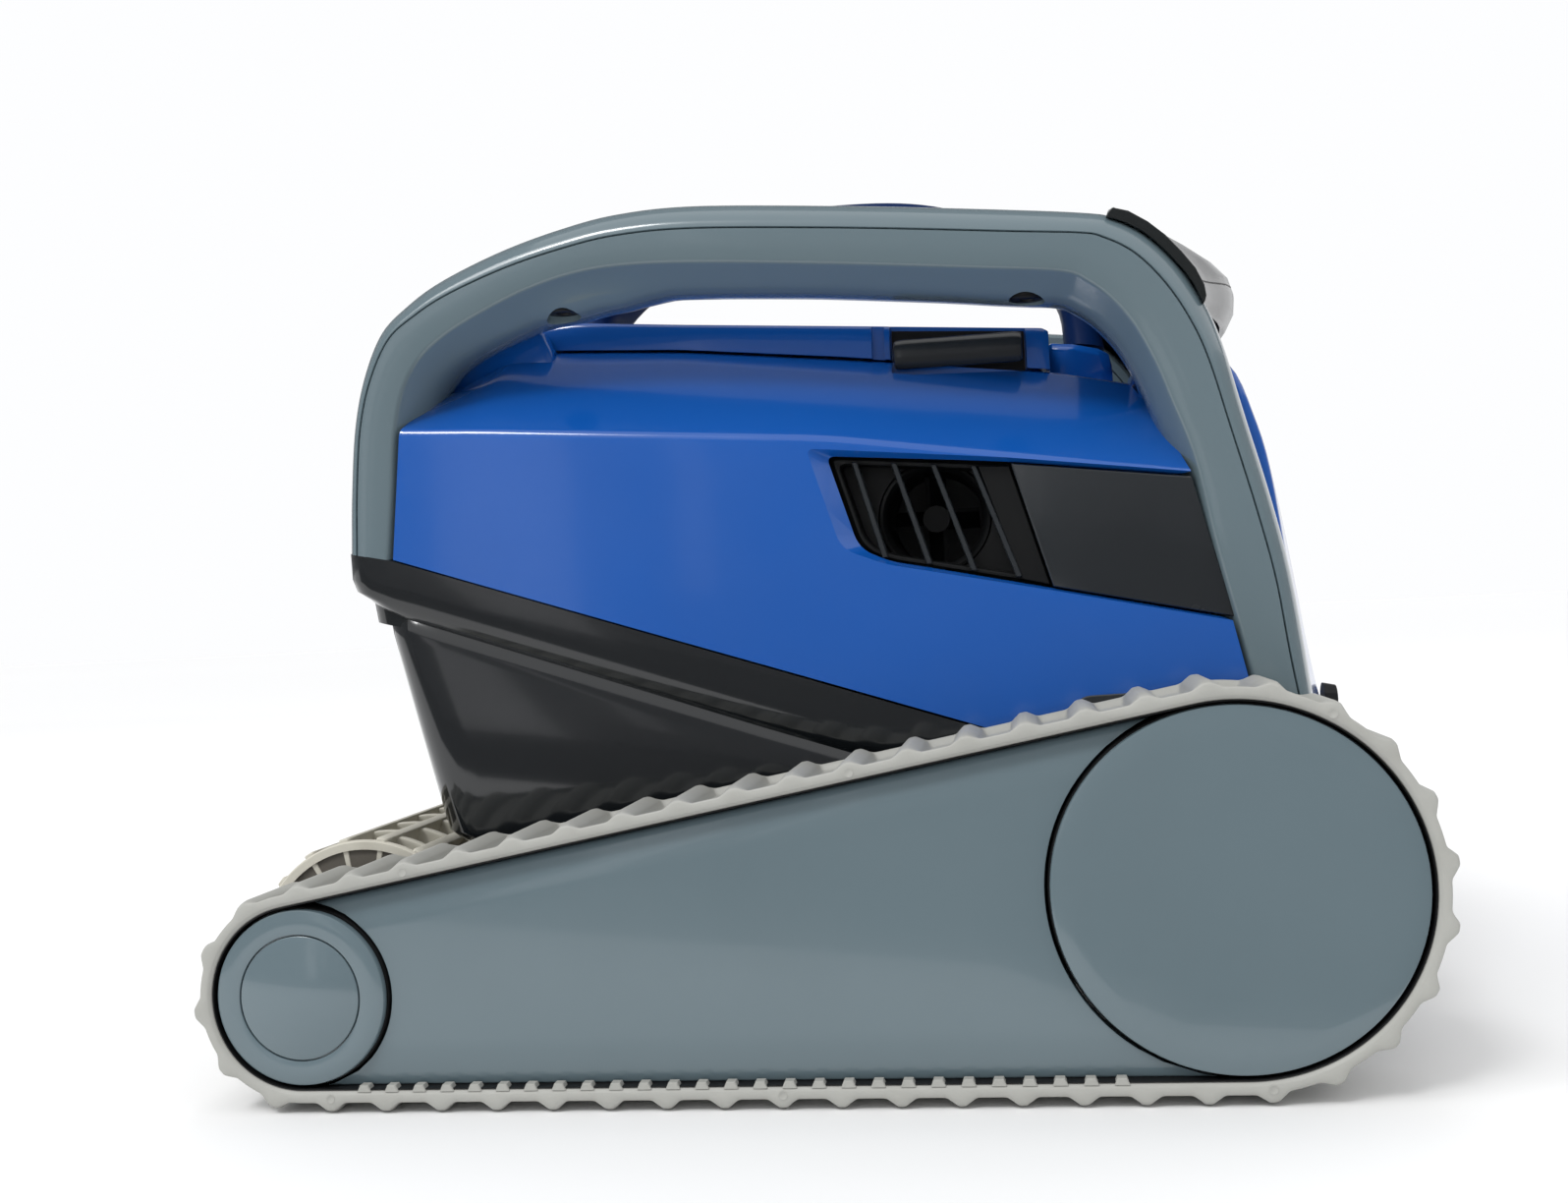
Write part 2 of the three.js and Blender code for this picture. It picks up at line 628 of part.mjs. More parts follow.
function bow() {
  const inner = [
    [-92, 288.9], [-86, 288.6], [-84, 300], [-60, 316], [-20, 325], [25, 328], [66, 322], [88, 308],
    [98, 290], [100, 272.6],
  ];
  const outer = [
    [-105.5, 283.6], [-106, 298], [-96, 312], [-60, 329], [-20, 339], [25, 343], [66, 338],
    [98, 322], [114, 300], [118, 269.6],
  ];
  const pts = [...outer, ...inner.slice().reverse()];
  return prismY(pts, -15, 15);
}

// ---- inner works --------------------------------------------------------------------------
function filterBasket() {
  let tray = box(-90, 12, -84, 84, 60, 255);
  tray = tray.subtract(box(-87, 9, -81, 81, 63, 260));
  tray = tray.subtract(box(-78, 0, -90, 90, 76, 236));
  tray = tray.subtract(box(-95, 20, -72, 72, 76, 236));
  add('filter_basket', tray, 'charcoal');
  add('filter_panel_front', box(-86.6, -85.4, -77, 77, 70, 242), 'mesh');
  add('filter_panel_rear', box(7.4, 8.6, -77, 77, 70, 242), 'mesh');
  both((side, s) => {
    const [y0, y1] = spanY(s, 79.4, 80.6);
    add(`filter_panel_${side}`, box(-83, 5, y0, y1, 70, 242), 'mesh');
  });
  let grip = box(-44, -34, -80.6, 80.6, 240, 258);
  grip = grip.subtract(box(-50, -28, -50, 50, 230, 251));
  grip = grip.subtract(box(-50, -28, -90, -72, 225, 246)).subtract(box(-50, -28, 72, 90, 225, 246));
  add('basket_grip', grip, 'blue');
}

function motorUnit() {
  let unit = rod(28, -94, 94, OUTLET, 24);
  unit = unit.add(box(26, 58.5, -52, 52, 30.4, 178));
  add('motor_unit', unit, 'motor');
}

function inletFlaps() {
  for (const [k, x] of FLAP_X.entries()) {
    const plate = box(x - 0.5, x + 25.5, -61.2, 61.2, 27, 29);
    add(`inlet_flap_${k ? 'rear' : 'front'}`, plate.add(rod(1.2, -65.5, 65.5, [x, 28], 8)), 'charcoal');
  }
}

function lidGasket() {
  const seat = (x) => {
    const tops = STATIONS.map((st) => st[2]);
    const k = tops.findIndex((p) => p[0] > x);
    const [a, b] = [tops[k - 1], tops[k]];
    return a[1] + (b[1] - a[1]) * (x - a[0]) / (b[0] - a[0]) + 0.4;
  };
  const [x0, x1] = [OPEN_X[0] - 3, OPEN_X[1] + 3];
  const slab = loft([x0, -48, 14, x1].map((x) => [
    [x, 91, seat(x)], [x, 91, seat(x) + 2.6], [x, -91, seat(x) + 2.6], [x, -91, seat(x)],
  ]));
  add('lid_gasket', slab.subtract(box(...OPEN_X, -88, 88, 200, 300)), 'black');
}

function latches() {
  both((side, s) => {
    const outline = [
      [100.2, 251.6], [104.6, 251.2], [106.4, 254], [106.6, 262], [104.2, 266], [100.2, 266.4],
    ].map(([y, z]) => [s * y, z]);
    const [x0, x1] = LATCH_X;
    const loop = (x) => outline.map(([y, z]) => [x, y, z]);
    add(`lid_latch_${side}`, loft([loop(x0), loop(x1)]), 'charcoal');
  });
}

function cableGland() {
  const geo = new THREE.CylinderGeometry(5.6, 6.8, 5.4, 16);
  geo.rotateZ(-Math.PI / 2);
  geo.translate(207.8, 0, 114.5);
  add('cable_gland', toSolid(geo), 'charcoal');
}

group.name = 'pool_cleaner';
lowerShell();
upperShell();
add('front_panel', nosePanel(FRONT_NOSE, -1, 9), 'blue');
add('rear_panel', nosePanel(REAR_NOSE, 1, 26), 'blue');
arches();
add('rear_hood', loft(rearHood()), 'black');
sideOutlets();
impellers();
tracks();
trackSides();
wheels();
brush();
lid();
add('lid_handle', bow(), 'blue');
add('lid_hinge_pin', rod(1.9, -69.5, 69.5, LID_HINGE, 12), 'steel');
lidGasket();
latches();
filterBasket();
motorUnit();
inletFlaps();
cableGland();

export default group;
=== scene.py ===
from math import asin, atan2, cos, hypot, pi, radians, sin, sqrt

import bmesh
import bpy
import numpy as np
from mathutils import Matrix, Vector


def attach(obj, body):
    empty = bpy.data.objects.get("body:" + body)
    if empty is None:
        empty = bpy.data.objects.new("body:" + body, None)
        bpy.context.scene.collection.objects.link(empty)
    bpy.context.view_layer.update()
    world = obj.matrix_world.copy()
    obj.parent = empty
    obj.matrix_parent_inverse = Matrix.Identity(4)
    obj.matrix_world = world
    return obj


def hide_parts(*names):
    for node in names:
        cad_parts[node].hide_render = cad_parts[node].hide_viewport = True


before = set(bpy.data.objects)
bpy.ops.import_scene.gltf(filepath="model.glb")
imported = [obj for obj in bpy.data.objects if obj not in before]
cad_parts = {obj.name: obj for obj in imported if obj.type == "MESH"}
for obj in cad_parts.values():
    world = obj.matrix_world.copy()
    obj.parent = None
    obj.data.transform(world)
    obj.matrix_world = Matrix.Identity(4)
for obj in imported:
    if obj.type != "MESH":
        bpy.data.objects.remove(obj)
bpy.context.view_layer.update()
MM = 0.001

# ---- sizes shared with the CAD part, in millimetres ----
HALF = 152.0        # half the width over the shell and arches
RAIL_Y0 = 112.0     # inner face of the arches
NOSE_Y = 111.4      # half the width of the blue end panels
SHELL_WALL = 4.0    # thickness of the upper shell
BAND, LUG_H, LUGS = 4.2, 3.8, 48
IDLER = (-171.7, 39.6)
DRIVE = (143.0, 68.3)
IDLER_R = IDLER[1] - LUG_H - BAND
DRIVE_R = DRIVE[1] - LUG_H - BAND
OUTLET = (50.5, 194.4)
LID_HINGE = (-117.0, 267.3)
BRUSH = (-168.0, 44.0)
BRUSH_R = 43.4


# ---- mesh helpers ----
def edge(ob, width, segments=3, sharp=32):
    """Rounds the edges sharper than the given angle; the width is in millimetres."""
    mod = ob.modifiers.new("edge", "BEVEL")
    mod.width = width * MM
    mod.segments = segments
    mod.limit_method = "ANGLE"
    mod.angle_limit = radians(sharp)
    mod.harden_normals = True


def new_object(name, data):
    ob = bpy.data.objects.new(name, data)
    bpy.context.collection.objects.link(ob)
    return ob


def new_mesh(name, verts, faces):
    """Mesh from points in millimetres."""
    me = bpy.data.meshes.new(name)
    me.from_pydata([tuple(c * MM for c in v) for v in verts], [], [tuple(f) for f in faces])
    return me


def make(name, verts, faces, mat, sharp=32, bevel=0.0, segments=3):
    """Smooth shaded object from points in millimetres, with its sharp edges marked or rounded."""
    me = new_mesh(name, verts, faces)
    me.validate()
    ob = new_object(name, me)
    bm = bmesh.new()
    bm.from_mesh(me)
    bmesh.ops.remove_doubles(bm, verts=bm.verts, dist=1e-6)
    bmesh.ops.recalc_face_normals(bm, faces=bm.faces)
    bm.to_mesh(me)
    bm.free()
    me.materials.append(mat)
    me.polygons.foreach_set("use_smooth", [True] * len(me.polygons))
    me.set_sharp_from_angle(angle=radians(sharp))
    if bevel:
        edge(ob, bevel, segments, sharp)
    return ob


def spline_point(p0, p1, p2, p3, t):
    """Catmull-Rom point between p1 and p2."""
    return 0.5 * ((2 * p1) + (p2 - p0) * t + (2 * p0 - 5 * p1 + 4 * p2 - p3) * t * t
                  + (3 * p1 - p0 - 3 * p2 + p3) * t ** 3)


def catmull(points, count, closed=False):
    """Smooth curve through the points, as evenly spaced points."""
    pts = np.array(points, float)
    if closed:
        ext = np.vstack([pts[-1], pts, pts[0], pts[1]])
        spans = len(pts)
    else:
        ext = np.vstack([2 * pts[0] - pts[1], pts, 2 * pts[-1] - pts[-2]])
        spans = len(pts) - 1
    fine = []
    for i in range(spans):
        for t in np.linspace(0, 1, 12, endpoint=False):
            fine.append(spline_point(*ext[i:i + 4], t))
    if not closed:
        fine.append(pts[-1])
    fine = np.array(fine)
    if closed:
        fine = np.vstack([fine, fine[0]])
    step = np.r_[0, np.cumsum(np.linalg.norm(np.diff(fine, axis=0), axis=1))]
    want = np.linspace(0, step[-1], count + (1 if closed else 0))
    out = np.column_stack([np.interp(want, step, fine[:, k]) for k in range(fine.shape[1])])
    return out[:-1] if closed else out


def loops_mesh(loops, cap=True, close=False):
    """Faces through equal closed loops."""
    n = len(loops[0])
    verts = [tuple(p) for loop in loops for p in loop]
    faces = []
    rows = len(loops)
    for k in range(rows if close else rows - 1):
        for i in range(n):
            a = k * n + i
            b = k * n + (i + 1) % n
            c = ((k + 1) % rows) * n + (i + 1) % n
            d = ((k + 1) % rows) * n + i
            faces.append((a, b, c, d))
    if cap and not close:
        faces.append(tuple(range(n))[::-1])
        faces.append(tuple((rows - 1) * n + i for i in range(n)))
    return verts, faces


def disc(centre, radius, steps=28):
    """Points on a circle in two of the three directions."""
    return [(centre[0] + radius * cos(a), centre[1] + radius * sin(a))
            for a in np.linspace(0, 2 * pi, steps, endpoint=False)]


def fillet(a, b, c, r, n=5):
    """Points that round the corner b between a and c."""
    a, b, c = (np.array(p, float) for p in (a, b, c))
    u = (a - b) / np.linalg.norm(a - b)
    v = (c - b) / np.linalg.norm(c - b)
    return [tuple((1 - t) ** 2 * (b + u * r) + 2 * t * (1 - t) * b + t * t * (b + v * r))
            for t in np.linspace(0, 1, n)]


def both_halves(half):
    """A half section at positive y, continued as its mirror image."""
    return [(x, -y, z) for x, y, z in half] + [(x, y, z) for x, y, z in reversed(half[:-1])]


def rounded(points, radii, n=7):
    """A closed outline with each corner rounded."""
    out = []
    for k, b in enumerate(points):
        a = points[k - 1]
        c = points[(k + 1) % len(points)]
        out += fillet(a, b, c, radii[k], n)
    return out


def inset_outline(points, dist):
    """The outline moved inwards along its corner bisectors."""
    area = sum(points[i - 1][0] * points[i][1] - points[i][0] * points[i - 1][1]
               for i in range(len(points)))
    sign = 1 if area > 0 else -1
    out = []
    for i, b in enumerate(points):
        a, c = points[i - 1], points[(i + 1) % len(points)]
        u = np.array(b) - np.array(a)
        v = np.array(c) - np.array(b)
        nu = np.array((-u[1], u[0])) / np.hypot(*u)
        nv = np.array((-v[1], v[0])) / np.hypot(*v)
        out.append(tuple(np.array(b) + sign * dist * (nu + nv) / (1 + nu @ nv)))
    return out


def at_y(outline, y):
    """The outline, drawn in x and z, as points at that y."""
    return [(x, y, z) for x, z in outline]


def plate(outline, levels, radii=None, n=7):
    """Closed plate: the outline at each (y, inset) level, its corners rounded if asked."""
    loops = []
    for y, dist in levels:
        line = inset_outline(outline, dist)
        if radii:
            line = rounded(line, radii, n)
        loops.append(at_y(line, y))
    return loops


def thin_wall(loops):
    """Loops that run out on one face and back on the other, closed rung by rung at both ends."""
    verts, faces = loops_mesh(loops, cap=False)
    n = len(loops[0])
    for base in (0, (len(loops) - 1) * n):
        for i in range(n // 2 - 1):
            faces.append((base + i, base + i + 1, base + n - 2 - i, base + n - 1 - i))
    return verts, faces


def lathe(profile, centre, steps=96, y_sign=1):
    """Profile of (radius, y) pairs turned about the Y direction, closed on itself."""
    loops = []
    for k in range(steps):
        a = 2 * pi * k / steps
        loops.append([(centre[0] + r * cos(a), y * y_sign, centre[1] + r * sin(a))
                      for r, y in profile])
    return loops_mesh(loops, cap=False, close=True)


def turned(centre, rings, steps):
    """Closed round shape about the Y direction, through (radius, y) rings."""
    return loops_mesh([at_y(disc(centre, r, steps), y) for r, y in rings])


def prism(outline, y0, y1):
    """Outline in x and z, pulled straight along y."""
    n = len(outline)
    verts = at_y(outline, y0) + at_y(outline, y1)
    faces = [(i, (i + 1) % n, n + (i + 1) % n, n + i) for i in range(n)]
    faces += [tuple(range(n))[::-1], tuple(range(n, 2 * n))]
    return verts, faces


def box(x0, x1, y0, y1, z0, z1):
    return prism([(x0, z0), (x1, z0), (x1, z1), (x0, z1)], y0, y1)


def joined(parts):
    """Several shapes as one."""
    verts, faces = [], []
    for v, f in parts:
        base = len(verts)
        verts += list(v)
        faces += [tuple(i + base for i in face) for face in f]
    return verts, faces


def bake(ob):
    """Applies the object's modifiers to its mesh."""
    dg = bpy.context.evaluated_depsgraph_get()
    me = bpy.data.meshes.new_from_object(ob.evaluated_get(dg))
    ob.modifiers.clear()
    old = ob.data
    ob.data = me
    bpy.data.meshes.remove(old)


def cut(ob, *tools, sharp=32):
    """Subtracts closed shapes from the object and keeps its shading."""
    for verts, faces in tools:
        me = new_mesh("tool", verts, faces)
        tool = new_object("tool", me)
        bm = bmesh.new()
        bm.from_mesh(me)
        bmesh.ops.recalc_face_normals(bm, faces=bm.faces)
        bm.to_mesh(me)
        bm.free()
        if ob.data.materials:
            me.materials.append(ob.data.materials[0])
        mod = ob.modifiers.new("cut", "BOOLEAN")
        mod.operation = "DIFFERENCE"
        mod.solver = "EXACT"
        mod.object = tool
        bake(ob)
        bpy.data.objects.remove(tool)
    ob.data.polygons.foreach_set("use_smooth", [True] * len(ob.data.polygons))
    ob.data.set_sharp_from_angle(angle=radians(sharp))


def place(ob, body, slot, *nodes):
    """The piece rides on a body and may stand for CAD nodes; the slot is not used."""
    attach(ob, body)
    if nodes:
        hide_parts(*nodes)


def piece(name, data, mat, body, slot, *nodes, **finish):
    """Makes a piece and places it."""
    place(make(name, *data, mat, **finish), body, slot, *nodes)


SIDES = (("left", -1), ("right", 1))


def on_side(data, s):
    """Shapes are drawn for the left side, at negative y; the right side is their mirror image."""
    if s < 0:
        return data
    verts, faces = data
    return [(x, -y, z) for x, y, z in verts], [tuple(reversed(f)) for f in faces]


# ---- materials ----
def new_material(name):
    """A material, its node tree and its main shader."""
    mat = bpy.data.materials.new(name)
    mat.use_nodes = True
    return mat, mat.node_tree, mat.node_tree.nodes["Principled BSDF"]


def add_node(nt, kind, **values):
    """Adds a shader node and sets its inputs; an underscore stands for the space in their names."""
    node = nt.nodes.new("ShaderNode" + kind)
    for key, value in values.items():
        node.inputs[key.replace("_", " ")].default_value = value
    return node


def two_tones(nt, fac, low, high):
    """Colour that drifts between two tones."""
    ramp = add_node(nt, "ValToRGB")
    ramp.color_ramp.elements[0].color = (*low, 1)
    ramp.color_ramp.elements[1].color = (*high, 1)
    nt.links.new(fac, ramp.inputs["Fac"])
    return ramp


def surface(name, base, rough, shade=0.05, scale=14.0, rough_var=0.05, grain=900.0, bump=0.02,
            coat=0.0, dirt=None, metal=0.0, spec=0.5):
    """Moulded surface: slow colour drift, uneven gloss and a fine grain.

    dirt is a tint, its greatest amount and the scale of its spots.
    """
    mat, nt, bsdf = new_material(name)
    link = nt.links.new
    coord = add_node(nt, "TexCoord")

    def noise(size, detail):
        node = add_node(nt, "TexNoise", Scale=size, Detail=detail)
        link(coord.outputs["Object"], node.inputs["Vector"])
        return node.outputs["Fac"]

    ramp = two_tones(nt, noise(scale, 4), [c * (1 - shade) for c in base],
                     [min(1.0, c * (1 + shade)) for c in base])
    ramp.color_ramp.interpolation = "EASE"
    ramp.color_ramp.elements[0].position = 0.15
    ramp.color_ramp.elements[1].position = 0.85
    colour = ramp.outputs["Color"]
    if dirt:
        tint, amount, size = dirt
        reach = add_node(nt, "MapRange", From_Min=0.52, From_Max=0.75, To_Max=amount)
        link(noise(size, 6), reach.inputs["Value"])
        mix = add_node(nt, "Mix")
        mix.data_type = "RGBA"
        mix.inputs["B"].default_value = (*tint, 1)
        link(reach.outputs["Result"], mix.inputs["Factor"])
        link(colour, mix.inputs["A"])
        colour = mix.outputs["Result"]
    link(colour, bsdf.inputs["Base Color"])
    span = add_node(nt, "MapRange", From_Min=0.2, From_Max=0.8, To_Min=max(0.02, rough - rough_var),
                    To_Max=min(1.0, rough + rough_var))
    span.interpolation_type = "SMOOTHSTEP"
    link(noise(scale * 2.3, 5), span.inputs["Value"])
    link(span.outputs["Result"], bsdf.inputs["Roughness"])
    relief = add_node(nt, "Bump", Strength=bump, Distance=0.0004)
    link(noise(grain, 2), relief.inputs["Height"])
    link(relief.outputs["Normal"], bsdf.inputs["Normal"])
    bsdf.inputs["Metallic"].default_value = metal
    bsdf.inputs["Specular IOR Level"].default_value = spec
    if coat:
        bsdf.inputs["Coat Weight"].default_value = coat
        bsdf.inputs["Coat Roughness"].default_value = 0.06
    return mat


BLUE = surface("blue_gloss", (0.004, 0.075, 0.34), 0.16, 0.03, rough_var=0.03, coat=0.5, bump=0.01)
# a darker copy of the blue gloss: its dark tone is painted shade, standing in for the shadow on the lid's
# bow
PAINTED_SHADE_BLUE = surface("blue_gloss_painted_shade", (0.003, 0.016, 0.070), 0.35, 0.05, bump=0.01, spec=0.06)
GREY = surface("grey_gloss", (0.108, 0.150, 0.170), 0.20, 0.025, rough_var=0.04, coat=0.5, bump=0.01)
BLACK = surface("tub_black", (0.008, 0.0095, 0.011), 0.12, 0.08, rough_var=0.03, coat=0.4, bump=0.008)
HOOD = surface("hood_gloss", (0.010, 0.012, 0.0125), 0.2, 0.06, rough_var=0.03, bump=0.006, spec=0.4)
CHAR = surface("charcoal_gloss", (0.016, 0.019, 0.022), 0.24, 0.08, coat=0.2, bump=0.015)
DARK = surface("vent_dark", (0.004, 0.0045, 0.005), 0.45, 0.1, bump=0.05, spec=0.3)
MATT = surface("matt_black", (0.005, 0.0053, 0.006), 0.5, 0.1, bump=0.1, spec=0.35)
CREAM = surface("cream_rubber", (0.355, 0.355, 0.33), 0.6, 0.04, scale=22, rough_var=0.1, bump=0.15,
                dirt=((0.27, 0.265, 0.24), 0.35, 45))
SLEEVE = surface("brush_cream", (0.52, 0.50, 0.43), 0.6, 0.05, scale=24, bump=0.15,
                 dirt=((0.33, 0.31, 0.25), 0.4, 50))
TAUPE = surface("brush_taupe", (0.085, 0.076, 0.062), 0.7, 0.12, scale=30, bump=0.25)
STEEL = surface("steel", (0.48, 0.49, 0.50), 0.3, 0.05, scale=60, metal=1.0, bump=0.05)
MESH = surface("filter_mesh", (0.62, 0.63, 0.61), 0.7, 0.06, scale=50, grain=1600, bump=0.6)
MOTOR = surface("motor_case", (0.03, 0.032, 0.035), 0.5, 0.1, bump=0.1)
SEAL = surface("seal_rubber", (0.018, 0.018, 0.018), 0.6, 0.1, bump=0.1)

# ---- arches ----
ARCH = [  # outer x z, inner x z, width of the outer strip
    ((-167.6, 193), (-150, 189.5), 5.2), ((-166.4, 214), (-147.4, 214), 5),
    ((-163.9, 239), (-145.3, 236), 5), ((-159.5, 258), (-141.5, 251), 5.6),
    ((-152, 274.5), (-135, 262), 6.6), ((-142, 283.8), (-126, 269.5), 7.6),
    ((-128, 292.4), (-114, 276), 8.4), ((-105, 301.6), (-95, 284), 8.9),
    ((-82, 308), (-76, 289), 9.3), ((-60, 311.8), (-57, 290.6), 9.6),
    ((-31, 312.4), (-31, 289.6), 9.8), ((20, 308.2), (18, 285.2), 9.6),
    ((73, 302.6), (71, 279.5), 9.4), ((109, 298.2), (99, 276.2), 9.2),
    ((119, 295.4), (108, 272), 9.2), ((129.5, 288.9), (116, 265), 9.2),
    ((140, 277.5), (123, 255.5), 9.2), ((148, 263.4), (129.4, 242), 8.8),
    ((153.5, 248.4), (134, 229), 8.2), ((159.5, 224), (140.8, 208.5), 7.5),
    ((167, 194), (146, 181), 7), ((172.5, 166.5), (152, 153.5), 6.8),
    ((177.3, 128), (157.2, 129), 5.8), ((180, 107.4), (161.5, 107.4), 5.4),
]
SCREW_Y = 134.5     # the screw recesses in the arch's underside


def arch_frames(count=170):
    """Outer point, inner point and strip width, evenly along the table's smooth curve."""
    ctrl = np.array([[*a, *b, w] for a, b, w in ARCH], float)
    ext = np.vstack([2 * ctrl[0] - ctrl[1], ctrl, 2 * ctrl[-1] - ctrl[-2]])
    rows = []
    for k in np.linspace(0, len(ARCH) - 1, count):
        i = min(int(k), len(ARCH) - 2)
        rows.append(spline_point(*ext[i:i + 4], k - i))
    return np.array(rows)


def arch_pieces():
    """The outer cap strip and the inner rail of the left arch; sections are depth and y."""
    cap_loops, rail_loops = [], []
    for row in arch_frames():
        o, i, seam = row[:2], row[2:4], row[4]
        length = float(np.hypot(*(i - o)))
        u = (i - o) / length
        # the underside hangs a little lower than the drawn inner line
        fat = float(np.interp(i[0], [-140, -120, -100, -84, -64, -44, 10, 60, 92, 118, 132],
                              [0, 1.6, 2.9, 5.6, 5.2, 2, 1.3, 1.5, 2.2, 1.4, 0]))
        deep = length + fat

        def at(dist, y):
            p = o + u * dist
            return (p[0], y, p[1])

        cap = [(seam - 0.12, -151.4), (seam - 0.4, -152), (seam * 0.86, -151.9), (seam * 0.7, -151.3),
               (seam * 0.5, -149.9), (seam * 0.32, -148.2), (seam * 0.16, -146.2), (seam * 0.03, -144),
               (-0.45, -141.5), (-0.6, -138.5), (-0.3, -135), (0.4, -130), (1.2, -125), (2.1, -120),
               (3, -116.4), (4, -113.6), (5.2, -112.2), (seam - 0.4, -112), (seam - 0.12, -112.6)]
        cap_loops.append([at(a, b) for a, b in cap])
        rail = [(seam + 0.12, -112.6), (seam + 0.4, -112), (length - 1, -112), (length + 1.6, -112.7),
                (deep + 3.6, -114.6), (deep + 4.9, -117.6), (deep + 5.6, -122), (deep + 5.9, -127),
                (deep + 5.9, -131), (deep + 5.6, -134.6), (deep + 5, -137.4),
                (deep * 0.85 + length * 0.15 + 4.3, -139.6), (deep * 0.6 + length * 0.4 + 3.4, -142),
                (length + 1.2, -147.2), (length - 0.2, -150.2), (length - 0.9, -151.4),
                (length - 1.9, -152), (seam + 0.4, -152), (seam + 0.12, -151.4)]
        rail_loops.append([at(a, b) for a, b in rail])
    return loops_mesh(cap_loops), loops_mesh(rail_loops)


def build_arches():
    cap_data, rail_data = arch_pieces()
    for side, s in SIDES:
        piece(f"arch_cap_{side}_skin", on_side(cap_data, s), GREY,
              "chassis", "grey_trim", f"arch_cap_{side}", sharp=38)
        rail = make(f"arch_rail_{side}_skin", *on_side(rail_data, s), GREY, sharp=38)
        holes, plugs = [], []
        for end, x, z in (("front", -84, 274.6), ("rear", 87, 266.6)):
            at = (x, s * SCREW_Y)
            holes.append(loops_mesh([[(*p, h) for p in disc(at, 6.4)] for h in (z - 6, z + 11)]))
            plug = [[(*p, z + h) for p in disc(at, r)]
                    for r, h in ((6.1, 10.4), (6.1, 4.6), (5.6, 4), (3, 4), (2.6, 4.8), (0.05, 4.8))]
            plugs.append((end, loops_mesh(plug)))
        cut(rail, *holes, sharp=38)
        place(rail, "chassis", "grey_trim", f"arch_rail_{side}")
        for end, data in plugs:
            piece(f"arch_plug_{end}_{side}", data, DARK, "chassis", "frame_plastic", sharp=35)


# ---- upper shell ----
STATIONS = [  # tub seam x z, shoulder x z, top edge x z
    ((-148.6, 189.7), (-143.8, 237.2), (-133.6, 260.2)),
    ((-113.7, 178.1), (-113.7, 235), (-113.7, 271.4)),
    ((-48, 156.5), (-48, 229.7), (-48, 267.1)),
    ((14, 136.2), (14, 224.7), (14, 259.8)),
    ((100, 107.8), (100, 211), (98, 248.8)),
    ((160.8, 107.8), (140, 204.4), (124, 242.8)),
]


def shell_rows(count=90):
    """The stations joined by straight lines, with their bends smoothed."""
    ctrl = np.array([[*a, *b, *c] for a, b, c in STATIONS])
    t = np.linspace(0, len(STATIONS) - 1, 900)
    fine = np.column_stack([np.interp(t, np.arange(len(STATIONS)), ctrl[:, k]) for k in range(6)])
    pad = np.vstack([np.repeat(fine[:1], 60, 0), fine, np.repeat(fine[-1:], 60, 0)])
    kernel = np.hanning(91)
    kernel /= kernel.sum()
    smooth = np.column_stack([np.convolve(pad[:, k], kernel, "same") for k in range(6)])[60:-60]
    ease = np.clip(np.minimum(np.arange(900), np.arange(900)[::-1]) / 90, 0, 1)[:, None]
    fine = fine * (1 - ease) + smooth * ease
    return fine[np.linspace(0, 899, count).astype(int)]


def shell_section(row, inset=0):
    """Half section from the tub seam over the shoulder to the middle."""
    low, mid, top = row[0:2], row[2:4], row[4:6]
    seam = np.array((low[0], HALF - inset, low[1]))
    shoulder = np.array((mid[0], HALF - inset, mid[1] - inset * 0.3))
    brow = np.array((top[0], 100 - inset * 0.4, top[1] - inset))
    middle = np.array((top[0], 0, top[1] + 1.5 - inset))
    pts = [tuple(seam + (shoulder - seam) * t) for t in (0, 0.3, 0.6, 0.85)]
    pts += fillet(seam, shoulder, brow, 2.6)
    for t in (0.2, 0.4, 0.6, 0.8):
        p = shoulder + (brow - shoulder) * t
        bulge = 1.6 * sin(pi * t)
        pts.append((p[0], p[1] + 0.55 * bulge, p[2] + 0.8 * bulge))
    pts += fillet(shoulder, brow, middle, 4)
    pts += [tuple(brow + (middle - brow) * t) for t in (0.35, 0.7, 1)]
    return pts


# the side window and its wider rim on the shell's face
WINDOW = [(14.4, 217.6), (77.8, 211.9), (141, 203.5), (153.2, 153.2), (90.6, 167.1), (34.4, 179.6),
          (24.4, 184.4)]
WINDOW_RIM = [(6.6, 220.9), (77.8, 213.3), (141.4, 204.7), (154, 152), (90.6, 166.1), (33, 178.3),
              (17.4, 184.6)]
WINDOW_RADII = [3.2, 0.6, 0.6, 0.6, 0.6, 4, 5.5]


def build_upper_shell():
    rows = shell_rows()
    outer, inner = [], []
    for k, row in enumerate(rows):
        outer.append(both_halves(shell_section(row)))
        shift = SHELL_WALL * (max(0, 1 - k / 3) - max(0, 1 - (len(rows) - 1 - k) / 3))
        inner.append(both_halves([(x + shift, y, z) for x, y, z in shell_section(row, SHELL_WALL)]))
    loops = [o + i[::-1] for o, i in zip(outer, inner)]
    shell = make("upper_shell_skin", *thin_wall(loops), BLUE, sharp=50)
    tools = []
    for s in (-1, 1):
        levels = [(-HALF - 1.5, WINDOW_RIM), (-HALF - 0.02, WINDOW_RIM), (-HALF + 4.6, WINDOW),
                  (-130, WINDOW)]
        loops = [at_y(rounded(shape, WINDOW_RADII), y * -s) for y, shape in levels]
        tools.append(loops_mesh(loops))
        y0, y1 = sorted((s * 99.6, s * 109.5))
        tools.append(box(35.4, 85.6, y0, y1, 250.2, 282))              # latch seat
    tools.append(box(-92, 17, -87, 87, 215, 295))                      # mouth over the filter basket
    tools.append(box(-127, -99, -61.4, 61.4, 262.8, 285))              # room for the lid's knuckles
    cut(shell, *tools, sharp=18)
    edge(shell, 0.7, 2, 42)
    place(shell, "chassis", "blue_shell", "upper_shell")


